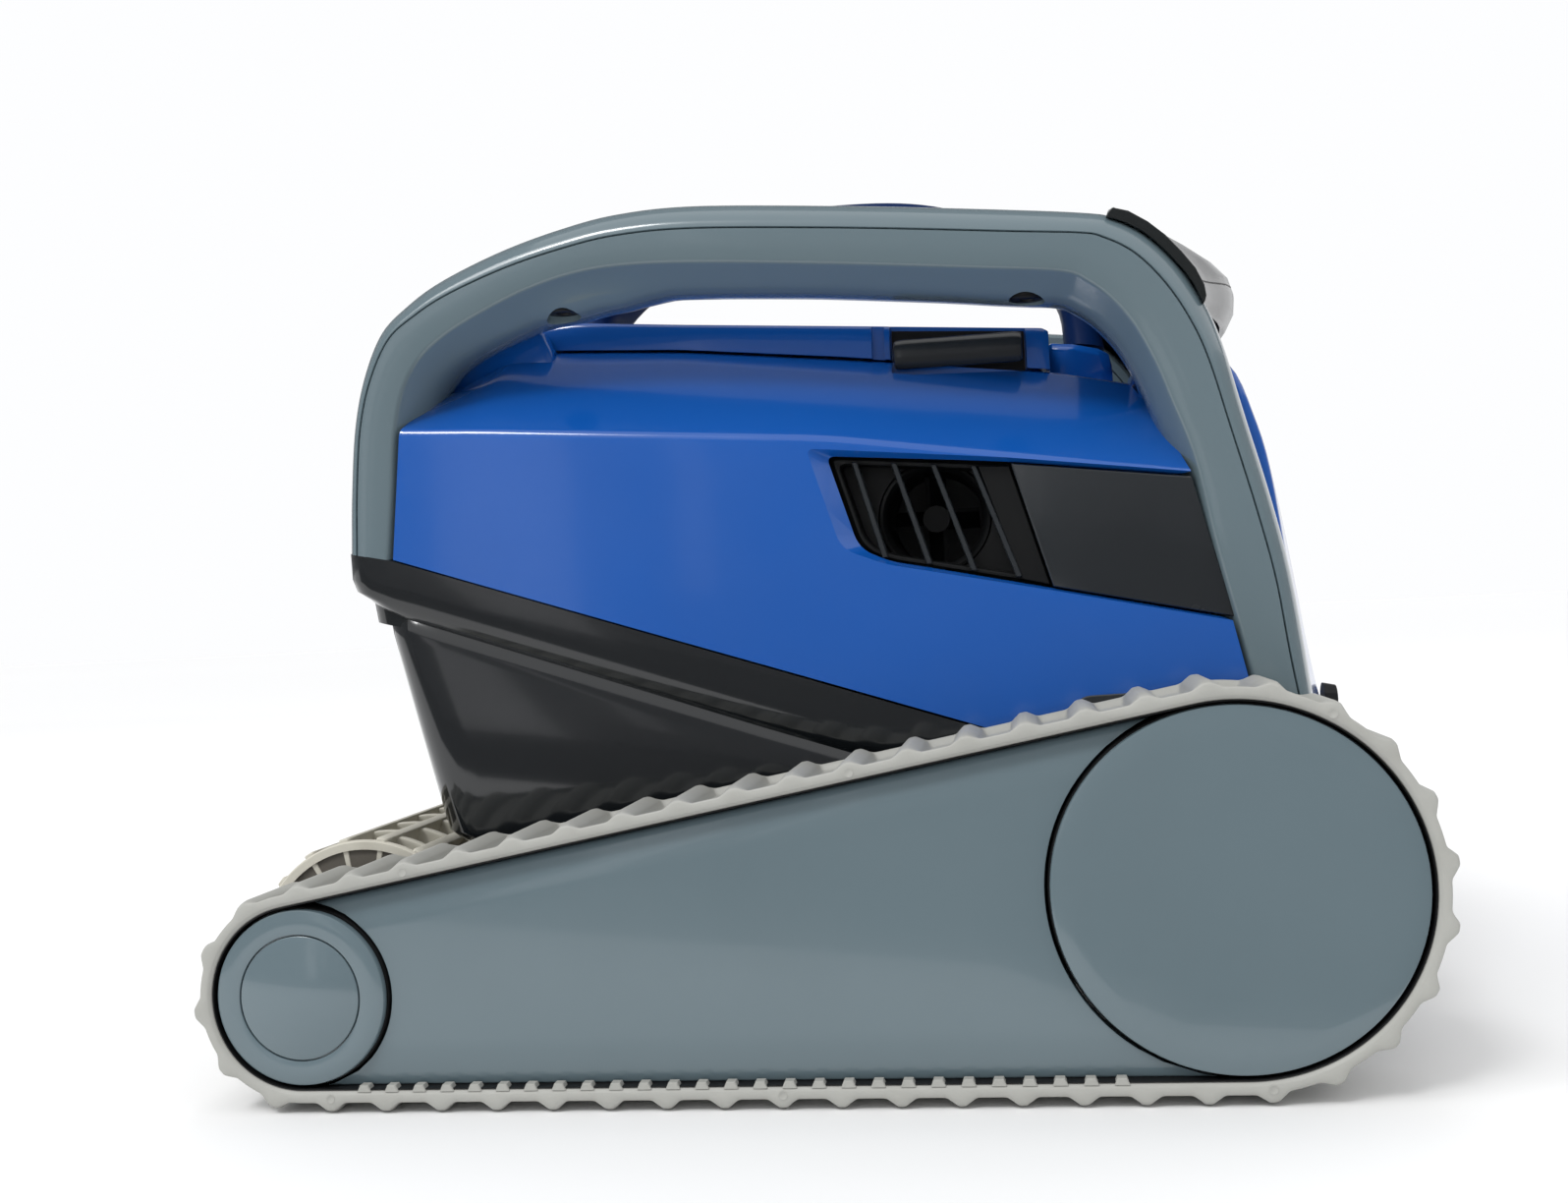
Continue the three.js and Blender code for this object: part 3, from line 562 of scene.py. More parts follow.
# ---- hinge covers ----
def build_hinge_covers():
    """Barrels and cheeks on the shell, just outside the lid's hinge knuckles."""
    for side, s in SIDES:
        rings = ((6.4, -98.8), (7.4, -98.3), (7.9, -97.2), (7.9, -73.6), (7.4, -72.8), (6.4, -72.6))
        piece(f"hinge_cover_{side}", on_side(turned(LID_HINGE, rings, 48), s), BLUE,
              "chassis", "blue_shell", sharp=50)
        shape = [(-99, 262), (-136, 254), (-139, 258), (-137, 262.8), (-131, 267.4), (-122, 272),
                 (-113, 275.4), (-106, 277.2), (-101.5, 277.2), (-99.2, 275)]
        shape = catmull(shape, 60, closed=True)
        mid = np.mean(shape, axis=0)
        loops = [at_y(mid + (shape - mid) * k, y) for y, k in
                 ((-99.9, 1), (-106.6, 1), (-108, 0.985), (-108.8, 0.95))]
        piece(f"lid_cheek_{side}", on_side(loops_mesh(loops), s), BLUE, "chassis", "blue_shell", sharp=50)


# ---- side outlets ----
def build_outlets():
    for side, s in SIDES:
        def add(name, data, mat, slot, *nodes, sharp=32):
            ob = make(f"{name}_{side}", *on_side(data, s), mat, sharp=sharp)
            place(ob, "chassis", slot, *nodes)

        panel = [(78.4, 211.4), (140.2, 203.2), (152.4, 153.8), (91, 167.4)]
        levels = ((-143, 0), (-149.2, 0), (-149.75, 0.18), (-150, 0.55))
        add("fairing_panel", loops_mesh(plate(panel, levels, [0.5] * 4, 3)), CHAR, "charcoal_plastic",
            f"side_fairing_{side}", sharp=40)
        strip = [(66.5, 211.6), (78, 210.8), (90.4, 167.8), (80, 170.4)]
        levels = ((-141, 0), (-147, 0), (-147.6, 0.5))
        add("fairing_step", loops_mesh(plate(strip, levels)), DARK, "charcoal_plastic", sharp=40)
        frame_line = WINDOW[:1] + [(78.2, 211.5), (91, 167.6)] + WINDOW[5:]
        levels = ((-140.6, 0.35), (-146.2, 0.35), (-146.7, 0.8), (-146.7, 1.5), (-146.2, 2), (-140.6, 2.6))
        rim = plate(frame_line, levels, [3, 0.5, 0.5, 4, 5.5])
        add("outlet_frame", loops_mesh(rim, cap=False, close=True), DARK, "charcoal_plastic", sharp=35)
        slats = []
        for k in range(4):
            x, low_x = 22.2 + 14 * k, 31.6 + 15.6 * k
            top, low = 215.4 - 1.3 * k, 180.6 - 3.1 * k
            section = [(x, top), (x + 2.1, top), (low_x + 2.3, low), (low_x, low)]
            slats.append(loops_mesh(plate(section, ((-141.4, 0), (-147.9, 0), (-148.5, 0.35)))))
        add("outlet_slats", joined(slats), CHAR, "charcoal_plastic")
        ring = [(17, -96), (17, -134.8), (17.6, -137.6), (18.8, -139.2), (19.8, -139), (20, -137.6),
                (20, -96)]
        piece(f"outlet_ring_{side}", lathe(ring, OUTLET, 72, -s), DARK,
              "chassis", "black_shell", f"outlet_duct_{side}")
        wall = [(12, 222), (96, 214), (104, 160), (22, 176)]
        shade = make(f"outlet_back_{side}", *on_side(prism(wall, -139, -137.6), s), DARK)
        cut(shade, turned(OUTLET, ((20.4, 145 * s), (20.4, 120 * s)), 64))
        place(shade, "chassis", "frame_plastic")
        pad = rounded([(92, 121), (98.6, 128.9), (118.6, 129.4), (124, 121.6)], [1, 3.4, 3.4, 1], 5)
        add("side_pad", loops_mesh(plate(pad, ((-151.4, 0), (-152.7, 0), (-153.1, 0.4)))), CHAR,
            "charcoal_plastic")


# ---- lower shell ----
def seam_z(x):
    """Height of the seam between the upper shell and the tub."""
    return float(np.interp(x, [-166, -149.6, 100, 210], [192.6, 189.1, 106.7, 106.7]))


FLANGE_LEVELS = 5       # the first levels make the flange
LAST_SLOPING = 7        # the last level that runs along the seam


def build_lower_shell():
    # front x z, inset of the side, forward bulge of the middle, rear x z
    levels = [
        (-167.8, 192.9, 0, 12.5, 204, 106.7),
        (-167.5, 183.4, 0, 12.8, 203.5, 101),
        (-166, 179, 0.4, 12.6, 203, 98.5),
        (-161, 175.6, 1.2, 11, 202.4, 96),
        (-158.2, 172.6, 2.8, 8, 201.5, 92.5),
        (-157, 170.4, 4.6, 5, 200.5, 90.5),
        (-156.2, 167, 3, 4.6, 200, 88.5),
        (-155.2, 162.6, 2.2, 4.4, 199, 86),
        (-146, 124, 2.4, 4, 195, 77),
        (-137.4, 88.6, 2.8, 3, 190, 66),
        (-133.6, 85.2, 4.2, 2, 188, 62),
        (-129, 83.6, 6, 2, 185, 58),
        (-112, 82.4, 7, 1, 180, 50),
        (-107, 76, 7, 0, 177, 46),
        (-104.4, 32, 7, 0, 168, 36.5),
        (-102, 27.6, 9, 0, 156, 28.6),
        (-98, 26.2, 12, 0, 148, 26.2),
    ]
    loops = []
    for j, (fx, fz, inset, bulge, rx, rz) in enumerate(levels):
        half_w = HALF - inset
        pts = []
        cf = 9 if j < FLANGE_LEVELS else 15     # front corner radius
        cr = 34                                   # rear corner radius
        ys = np.r_[np.linspace(0, RAIL_Y0, 12), np.linspace(RAIL_Y0, half_w - cf, 6)[1:]]
        for y in ys:
            out = bulge * max(0, 1 - (y / RAIL_Y0) ** 2) ** 0.8
            pts.append((fx - out, y))
        for a in np.linspace(0, pi / 2, 8)[1:]:
            pts.append((fx + cf - cf * cos(a), half_w - cf + cf * sin(a)))
        side = np.linspace(fx + cf, rx - cr * 0.9, 40)[1:]
        pts += [(x, half_w) for x in side]
        for a in np.linspace(0, pi / 2, 9)[1:]:
            pts.append((rx - cr * 0.9 * (1 - sin(a)), half_w - cr + cr * cos(a)))
        for y in np.linspace(half_w - cr, 0, 8)[1:]:
            pts.append((rx, y))
        loop = []
        for x, y in pts:
            if j <= LAST_SLOPING:
                drop = fz - seam_z(fx)
                steep = min(1, max(0, (x + 150) / 137)) * (1 if j >= 3 else 0.3)
                z = seam_z(max(x, fx)) + drop * (1 + 0.10 * steep)
                z = max(z, rz)
            else:
                t = (x - fx) / (rx - fx)
                z = fz + (rz - fz) * min(1, max(0, t))
            loop.append((x, y, z))
        loops.append([(x, -y, z) for x, y, z in loop] + loop[-2:0:-1])
    rim = [(p[0] * 0.975, p[1] * 0.975, p[2]) for p in loops[0]]
    # the tub closes inside the shell, and behind x = 150 with a ledge just below its rim
    well = [(p[0] * 0.96 + 1, p[1] * 0.965, p[2] - (26 if p[0] < 150 else 1.4)) for p in loops[0]]
    loops = [well, rim] + loops
    verts, faces = loops_mesh(loops, cap=False)
    n = len(loops[0])
    last = (len(loops) - 1) * n
    h = n // 2
    for base in (0, last):
        for i in range(1, h - 1):
            faces.append((base + i, base + i + 1, base + n - i - 1, base + n - i))
        faces.append((base, base + 1, base + n - 1))
        faces.append((base + h - 1, base + h, base + h + 1))
    tub = make("lower_shell_skin", verts, faces, BLACK, sharp=55)
    cut(tub, *[box(x - 2.6, x + 26.6, -61.8, 61.8, 18, 42) for x in (-62, 62)], sharp=50)
    place(tub, "chassis", "black_shell", "lower_shell")


# ---- blue end panels ----
def build_end_panel(name, outline, tip_sign, pull_at, node):
    """Skin swept over y: full depth in the middle, drawn back towards the arches."""
    pts = np.array(outline, float)
    back, tip = sorted((pts[:, 0].min(), pts[:, 0].max()), reverse=tip_sign < 0)
    middle = pts[:, 1].mean()
    smooth = catmull(outline, 72, closed=True)
    loops = []
    rim_width = 3.4
    ys = [-NOSE_Y, -NOSE_Y + 0.5, -NOSE_Y + 1.6, -NOSE_Y + rim_width, *np.linspace(-105, 105, 29),
          NOSE_Y - rim_width, NOSE_Y - 1.6, NOSE_Y - 0.5, NOSE_Y]
    for y in ys:
        pull = pull_at(abs(y))
        rim = max(0, abs(y) - (NOSE_Y - rim_width)) / rim_width
        shrink = 3 * (1 - sqrt(max(0, 1 - rim * rim)))
        loop = []
        for x, z in smooth:
            f = abs(x - back) / abs(tip - back)
            loop.append((x - tip_sign * f * (pull + shrink), y, z - shrink * (0.4 if z > middle else 0)))
        loops.append(loop)
    piece(name, loops_mesh(loops), BLUE, "chassis", "blue_shell", node, sharp=50)


def build_end_panels():
    front = [(-151, 192.6), (-163, 192.6), (-178, 192.8), (-182.6, 203), (-185.6, 214), (-185.8, 226),
             (-182.5, 238), (-176.5, 249), (-167.5, 257), (-155, 264), (-145.5, 268.2), (-139.4, 265.2),
             (-136.9, 261), (-141.7, 249), (-145.8, 237.5), (-148.7, 215)]
    build_end_panel("front_panel_skin", front, -1, lambda y: 7 * (y / NOSE_Y) ** 2, "front_panel")
    rear = [(161.9, 107.8), (183, 107.6), (203.6, 107.9), (201.8, 120), (198.4, 140), (194.8, 166),
            (188.3, 206), (181.6, 227), (171.6, 245.6), (151, 256.6), (134, 258.4), (129, 252),
            (125.2, 243.6), (133, 224), (141.2, 204.7), (152, 154)]
    build_end_panel("rear_panel_skin", rear, 1, lambda y: 0.2 * (hypot(y, 12) - 12), "rear_panel")


# ---- lid ----
def lid_heights(x):
    """Heights of the lid's lower rim and of its upper edge."""
    zb = float(np.interp(x, [-112, -92, -48, 14, 95], [271.9, 270.7, 267.8, 260.7, 250.1]))
    zt = float(np.interp(x, [-112, -110, -92, -88, -48, 14, 95],
                         [278.2, 280.6, 281.6, 281.5, 277.9, 272.8, 266]))
    return zb, zt


def lid_half(x):
    """Half section of the lid's outer face, from the rim to the middle."""
    zb, zt = lid_heights(x)
    w = 99 - 1.5 * max(0, (-109 - x) / 3) ** 2
    wall = zt - zb
    crown = 8 * min(1, 0.35 + 0.65 * max(0, (x + 112) / 18))
    pts = [(x, w, zb)]
    if wall > 3:
        pts += [(x, w, zb + 0.45 * wall), (x, w - 0.5, zt - 2.6)]
        pts += fillet((x, w - 0.5, zt - 3.2), (x, w - 0.9, zt), (x, w - 20, zt + 1.9), 2.2)
    else:
        pts += [(x, w, zb + 0.3 * wall), (x, w, zb + 0.5 * wall)]
        pts += [(x, w - 0.3 * k, zb + wall * (0.6 + 0.1 * k)) for k in range(5)]
    return pts + [(x, y * w / 99, zt + crown * c)
                  for y, c in ((80, 0.32), (62, 0.62), (40, 0.86), (20, 0.97), (0, 1))]


def build_lid():
    xs = [-112, -110.5, -107, -102, -97, -93.5, -91, -88, -84, -78, *np.linspace(-70, 90, 28), 92.5, 94.2,
          94.9]
    loops = []
    for x in xs:
        zb = lid_heights(x)[0]
        tuck = max(0, x - 92) / 2.9
        top = both_halves([(px, py - 0.8 * tuck * (py > 90), pz - 1.2 * tuck ** 2 * (pz > zb + 2))
                           for px, py, pz in lid_half(x)])
        under = [(px, py * 0.962, max(zb, pz - 3.4) if abs(py) < 92 else zb) for px, py, pz in reversed(top)]
        loops.append(top + under)
    lid = make("lid_skin", *thin_wall(loops), BLUE, sharp=48)
    tools = []
    for s in (-1, 1):
        for x0, x1, y in ((34.6, 86.2, 93), (27.6, 32.4, 96.2)):     # latch recess and its notch
            y0, y1 = sorted((s * y, s * 101))
            tools.append(box(x0, x1, y0, y1, 240, 290))
    cut(lid, *tools, sharp=48)
    edge(lid, 0.6, 2, 48)
    place(lid, "lid", "blue_shell", "lid_panel")
    wall = prism([(35.2, 250.6), (85.6, 250.6), (85.6, 266), (35.2, 269.6)], -94.6, -92.9)
    for side, s in SIDES:
        piece(f"latch_recess_{side}", on_side(wall, s), MATT, "lid", "blue_shell")
    tongue = []
    for x, zb, zt, w in ((95.4, 250.6, 270.2, 45), (97, 250.4, 271.4, 46), (106, 249.2, 270.6, 45),
                         (116, 248.2, 268.6, 42), (120.4, 247.8, 266.6, 39), (121.6, 248.2, 262, 37)):
        tongue.append(both_halves([(x, w, zb), (x, w, zt - 6), (x, w - 2.5, zt - 3.4),
                                   (x, w - 14, zt - 1.6), (x, 0, zt)]))
    piece("lid_tail", loops_mesh(tongue), BLUE, "lid", "blue_shell", sharp=40, bevel=0.8)
    knuckle = [(-121.3, 266), (-120.9, 269.6), (-118, 271.6), (-112, 272.4), (-104, 275.4), (-101.5, 272.5),
               (-105, 268.5), (-110, 264.4), (-116, 263.2), (-119.8, 263.8)]
    ears = make("lid_knuckles", *joined([prism(knuckle, -58, -30), prism(knuckle, 30, 58)]), BLUE, bevel=0.6)
    bake(ears)
    cut(ears, turned(LID_HINGE, ((2.4, -70), (2.4, 70)), 24))
    place(ears, "lid", "blue_shell")


def build_bow():
    count = 60
    inner = catmull([(-93, 288.6), (-92, 299), (-66, 315), (-28, 324), (10, 326.4), (56, 321.4),
                     (89, 306.6), (101.5, 290), (104, 271.4)], count)
    outer = catmull([(-112.9, 281), (-112.6, 295), (-104, 311), (-70, 327.6), (-32, 337.8),
                     (8, 340.9), (50, 337), (91, 321), (113, 300), (120.5, 269)], count)
    # share of the way from the outer to the inner line, share of the half width
    section = [(0, 0.42), (0.02, 0.62), (0.08, 0.80), (0.2, 0.95), (0.36, 1), (0.64, 1), (0.8, 0.95),
               (0.92, 0.80), (0.98, 0.62), (1, 0.42)]
    loops = []
    for k, (o, i) in enumerate(zip(outer, inner)):
        flare = 11 * max(0, 1 - k / 14) ** 2 + 5 * max(0, 1 - (count - 1 - k) / 7) ** 2
        wide = 15 + flare
        half = [(o[0] + (i[0] - o[0]) * t, -w * wide, o[1] + (i[1] - o[1]) * t) for t, w in section]
        loops.append(half + [(x, -y, z) for x, y, z in reversed(half)])
    # the bow takes the darker copy of the lid blue: painted shade for the shadow that falls on it
    piece("lid_bow", loops_mesh(loops), PAINTED_SHADE_BLUE, "lid", "blue_shell", "lid_handle", sharp=50)


# ---- rear hood ----
# outer face and inner face, as x and z, at the hood's ends and in its middle
HOOD_END = [(116.2, 296.6), (118, 298.4), (123.4, 296.8), (129.8, 292.6), (135.6, 287.4), (141, 281),
            (145.2, 275.2), (147.9, 269.2), (148.4, 265.4), (147.9, 263.6)]
HOOD_MIDDLE = [(121.5, 316.4), (124, 317), (133.6, 311.2), (143.3, 303.4), (151.6, 298.6), (161.4, 292),
               (167.8, 285.2), (169.6, 278.6), (169, 272.2), (165.2, 265)]
HOOD_END_IN = [(147.2, 262.4), (146, 265.6), (144.2, 269.8), (141.4, 274.4), (136.2, 281), (131.6, 286),
               (127.2, 289.8), (122.6, 292.6), (118.6, 294.4), (115.6, 295.2)]
HOOD_MIDDLE_IN = [(162.8, 265.2), (165.6, 272.4), (165.8, 278), (164.2, 283.4), (158.2, 289), (149.4, 294.6),
                  (140.6, 299.6), (131.8, 307.4), (123.4, 313.2), (121.2, 314.4)]


def build_hood():
    ys = [-148, -144, -140, -132, -122, -112, -100, -88, -74, -58, -40, -20, 0]
    ys = ys + [-y for y in reversed(ys[:-1])]
    loops = []
    end, middle = np.array(HOOD_END + HOOD_END_IN, float), np.array(HOOD_MIDDLE + HOOD_MIDDLE_IN, float)
    for y in ys:
        reach = min(1, max(0, (148 - abs(y)) / 100))
        k = sin(reach * pi / 2) ** 1.5
        loops.append(at_y(end + (middle - end) * k, y))
    piece("rear_hood_skin", loops_mesh(loops), HOOD,
          "chassis", "charcoal_plastic", "rear_hood", sharp=50, bevel=0.4)
    seam = []
    for row in loops[1:-1]:
        p, q = np.array(row[6]), np.array(row[7])
        out = np.array([q[2] - p[2], 0, p[0] - q[0]]) * -1
        out = out / np.hypot(*out[[0, 2]])
        mid = p + (q - p) * 0.55
        down = (q - p) / np.linalg.norm(q - p)
        seam.append([tuple(mid + down * a + out * b)
                     for a, b in ((-0.3, -0.4), (-0.3, 0.06), (0.3, 0.06), (0.3, -0.4))])
    piece("hood_seam", loops_mesh(seam), DARK, "chassis", "charcoal_plastic", sharp=60)


# ---- tracks ----
def belt_lines():
    """Distance between the wheels, and the directions in which the two straight runs lie."""
    dx, dz = DRIVE[0] - IDLER[0], DRIVE[1] - IDLER[1]
    span = hypot(dx, dz)
    base = atan2(dz, dx)
    lean = asin((DRIVE_R - IDLER_R) / span)
    return span, base + pi / 2 + lean, base - pi / 2 - lean


def belt():
    """The point at a share of the belt's length and a height over its inner face; the length."""
    span, up, down = belt_lines()
    run = sqrt(span ** 2 - (DRIVE_R - IDLER_R) ** 2)
    mid = BAND / 2
    arc_r = (DRIVE_R + mid) * (up - down)
    arc_f = (IDLER_R + mid) * (2 * pi - up + down)
    total = 2 * run + arc_r + arc_f

    def straight(centre, radius, angle, s):
        n = (cos(angle), sin(angle))
        return centre[0] + n[0] * radius - n[1] * s, centre[1] + n[1] * radius + n[0] * s

    def round_wheel(centre, radius, angle, s, off):
        a = angle + s / (radius + mid)
        return centre[0] + cos(a) * (radius + off), centre[1] + sin(a) * (radius + off)

    def point(t, off):
        s = (t % 1) * total
        if s < run:
            return straight(IDLER, IDLER_R + off, down, s)
        s -= run
        if s < arc_r:
            return round_wheel(DRIVE, DRIVE_R, down, s, off)
        s -= arc_r
        if s < run:
            return straight(DRIVE, DRIVE_R + off, up, s)
        return round_wheel(IDLER, IDLER_R, up, s - run, off)
    return point, total


def build_tracks():
    point, total = belt()
    pitch = total / LUGS
    # distance from the lug's middle, height above the band
    steps = [(-9.9, 0), (-7.6, 0), (-6.2, 0), (-5.4, 0.08), (-4.7, 0.4), (-3.8, 1.25), (-2.5, 2.55),
             (-1.5, 3.5), (-1, 3.74), (-0.5, 3.8), (0.5, 3.8), (1, 3.74), (1.5, 3.5), (2.5, 2.55),
             (3.8, 1.25), (4.7, 0.4), (5.4, 0.08), (6.2, 0), (7.6, 0)]
    # across the belt: place, share of the lug's height, edge rounding, pocket depth, inner chamfer
    across = [(199.8, 0.60, 0.5, 0, 1.5), (199.55, 0.66, 0.15, 0, 1.2), (199.2, 0.71, 0, 0, 0.7),
              (198.7, 0.76, 0, 0.1, 0.2), (198.2, 0.81, 0, 0.9, 0), (197.6, 0.87, 0, 2, 0),
              (196.8, 0.92, 0, 2.5, 0), (195.4, 1, 0, 2.6, 0), (178, 1, 0, 2.6, 0),
              (160.2, 1, 0, 2.6, 0), (158.6, 0.92, 0, 2.5, 0), (157.8, 0.82, 0, 2, 0),
              (157.2, 0.74, 0, 0.9, 0), (156.6, 0.66, 0, 0.1, 0.2), (155.8, 0.58, 0, 0, 0.7),
              (155.25, 0.50, 0.25, 0, 1.2), (155, 0.42, 0.7, 0, 1.5)]
    outer_rows, inner_rows = [], []
    for y, share, ec, d, ic in across:
        row = []
        for lug in range(LUGS):
            for ds, h in steps:
                t = ((lug + 0.5) * pitch + ds * pitch / 19.8) / total
                low = 1 - min(1, h / 0.5)
                up = min(1, max(0, point(t, 1)[1] - point(t, 0)[1]))
                lug_scale = 1 - 0.30 * up * up * (3 - 2 * up)
                off = BAND + h * share * lug_scale - ec - d * low
                row.append((t, off))
        outer_rows.append([(*point(t, off), y) for t, off in row])
        inner_rows.append([(*point(t, ic), y) for t, _ in row])
    rows = outer_rows + inner_rows[::-1]
    loops = [[(x, -y, z) for x, z, y in row] for row in rows]
    data = loops_mesh(loops, close=True, cap=False)
    # a matt black sheet just inside the belt's inner face, from edge to edge: painted shade for the shadow
    # that falls on the lower run under the panel
    shade_liner = []
    for off in (-0.05, -0.4):
        shade_liner.append([point(t / 360, off) for t in range(360)])
    rings = [at_y(shade_liner[j], y) for j, y in ((0, -199), (1, -199), (1, -156.5), (0, -156.5))]
    painted_shade_lining = loops_mesh(rings, close=True, cap=False)
    teeth = []
    for k in range(2, int(belt_lines()[0] / pitch * 2) - 3):
        s0 = (k + 0.25) * pitch / 2
        loops = []
        for y, d in ((-199.6, 0.25), (-199.2, 0), (-195.7, 0)):
            loops.append([(p[0], y, p[1]) for p in (
                point((s0 - 2.5 + d) / total, 0.5), point((s0 + 2.5 - d) / total, 0.5),
                point((s0 + 1.5 - d) / total, -1.7 + d), point((s0 - 1.5 + d) / total, -1.7 + d))])
        teeth.append(loops_mesh(loops))
    studs = []
    for k in range(0, LUGS, 8):
        c = point(((k + 0.5) * pitch + 0.2) / total, BAND - 1.4)
        studs.append(turned(c, ((1.6, -199), (1.6, -199.93), (1.35, -199.98), (1.15, -199.85)), 16))
    # the matt black lining on the cream belt's inner face is painted shade
    pieces = (("skin", data, CREAM, 60), ("painted_shade_lining", painted_shade_lining, MATT, 60), ("teeth", joined(teeth), CREAM, 30),
              ("studs", joined(studs), CREAM, 50))
    for side, s in SIDES:
        for kind, shape, mat, sharp in pieces:
            name = f"track_{side}_skin" if kind == "skin" else f"track_{kind}_{side}"
            ob = make(name, *on_side(shape, s), mat, sharp=sharp)
            place(ob, "chassis", "track_rubber", *([f"track_{side}"] if kind == "skin" else []))


def inner_top_line(off):
    """The inner face of the belt's upper run moved inwards: slope, and height at x = 0."""
    up = belt_lines()[1]
    n = (cos(up), sin(up))
    p = (IDLER[0] + n[0] * (IDLER_R - off), IDLER[1] + n[1] * (IDLER_R - off))
    slope = -n[0] / n[1]
    return slope, p[1] - slope * p[0]


def circle_x(centre, radius, slope, height, sign):
    """Where the line z = slope x + height meets a circle, on the asked side."""
    cx, cz = centre
    a = 1 + slope ** 2
    b = 2 * (slope * (height - cz) - cx)
    c = cx ** 2 + (height - cz) ** 2 - radius ** 2
    square = b * b - 4 * a * c
    if square <= 0:
        return None
    return (-b + sign * sqrt(square)) / (2 * a)


PANEL_Z, PANEL_Y, PANEL_BACK = 8.35, 195.47, 188.6      # lower edge, outer and back faces


def build_track_panels():
    """The panels between the wheels, each drawn as a grid of lines that stop at the wheels."""
    slope, height = inner_top_line(1.2)
    # how far in from the lower or the upper edge, and y
    lows = [(0, PANEL_BACK), (0, 193.3), (0.25, 193.9), (0.8, 194.2), (5, 194.5), (9.5, 194.95),
            (12, 195.25), (14.5, 195.45)]
    tops = [(12, 195.45), (9.5, 195.2), (7.6, 194.9), (6.2, 194.4), (3, 193.8), (1.4, 193.3),
            (0.5, 192.7), (0, 191.8), (0, PANEL_BACK)]
    lines = [(0, PANEL_Z + o, y) for o, y in lows]
    for f in np.linspace(0, 1, 34)[1:-1]:
        lines.append((slope * f, (PANEL_Z + 14.5) * (1 - f) + (height - 12) * f, PANEL_Y))
    lines += [(slope, height - o, y) for o, y in tops]
    n = 60
    loops = []
    for m, h, y in lines:
        x0 = circle_x(IDLER, IDLER_R + 0.25, m, h, 1)
        x1 = circle_x(DRIVE, DRIVE_R + 0.3, m, h, -1)
        x0 = IDLER[0] + 6 if x0 is None else x0
        x1 = DRIVE[0] - 12 if x1 is None else x1
        loops.append([(x, -y, m * x + h) for x in np.linspace(x0, x1, n)])
    verts = [p for row in loops for p in row]
    faces = []
    for j in range(len(loops) - 1):
        for i in range(n - 1):
            faces.append((j * n + i, j * n + i + 1, (j + 1) * n + i + 1, (j + 1) * n + i))
    count = len(verts)
    verts += [(x, -PANEL_BACK, z) for x, y, z in verts]
    faces += [tuple(v + count for v in reversed(f)) for f in faces]
    for i in range(n - 1):
        faces.append((i, count + i, count + i + 1, i + 1))
        a = (len(loops) - 1) * n + i
        faces.append((a, a + 1, count + a + 1, count + a))
    for j in range(len(loops) - 1):
        a, b = j * n, (j + 1) * n
        faces.append((a, b, count + b, count + a))
        a, b = j * n + n - 1, (j + 1) * n + n - 1
        faces.append((a, count + a, count + b, b))
    for side, s in SIDES:
        piece(f"track_panel_{side}_skin", on_side((verts, faces), s), GREY,
              "chassis", "grey_trim", f"track_panel_{side}", sharp=40, bevel=0.6)


# ---- wheels ----
def build_wheels():
    for side, s in SIDES:
        for kind, body, centre, r in (("drive", f"rear_wheel_{side}", DRIVE, DRIVE_R - 0.6),
                                      ("idler", f"front_wheel_{side}", IDLER, IDLER_R - 0.6)):
            rim = [(6.4, 160), (r - 1, 160), (r, 161), (r, 194.4), (r - 0.4, 195),
                   (r - 2.4, 195), (r - 3, 194.4), (r - 3.2, 193), (6.4, 193)]
            piece(f"{kind}_rim_{side}", lathe(rim, centre, 120, s), MATT,
                  body, "frame_plastic", f"{kind}_wheel_{side}", sharp=35)
            q = r - 0.75
            if kind == "drive":
                face = [(q - 1.2, 198.35), (q * 0.86, 198.55), (q * 0.65, 198.8), (q * 0.35, 199),
                        (0.01, 199.1)]
            else:
                face = [(q - 1.2, 198.5), (22.2, 198.8), (21.75, 198.6), (21.6, 197.2), (21.25, 197.2),
                        (21.1, 198.6), (20.7, 198.85), (0.01, 198.95)]
            cap = [(0.01, 195.4), (q - 0.4, 195.4), (q, 195.9), (q, 197.3), (q - 0.35, 198.1)] + face
            piece(f"{kind}_cover_{side}", lathe(cap, centre, 120, s), GREY,
                  body, "grey_trim", f"{kind}_cap_{side}", sharp=35)


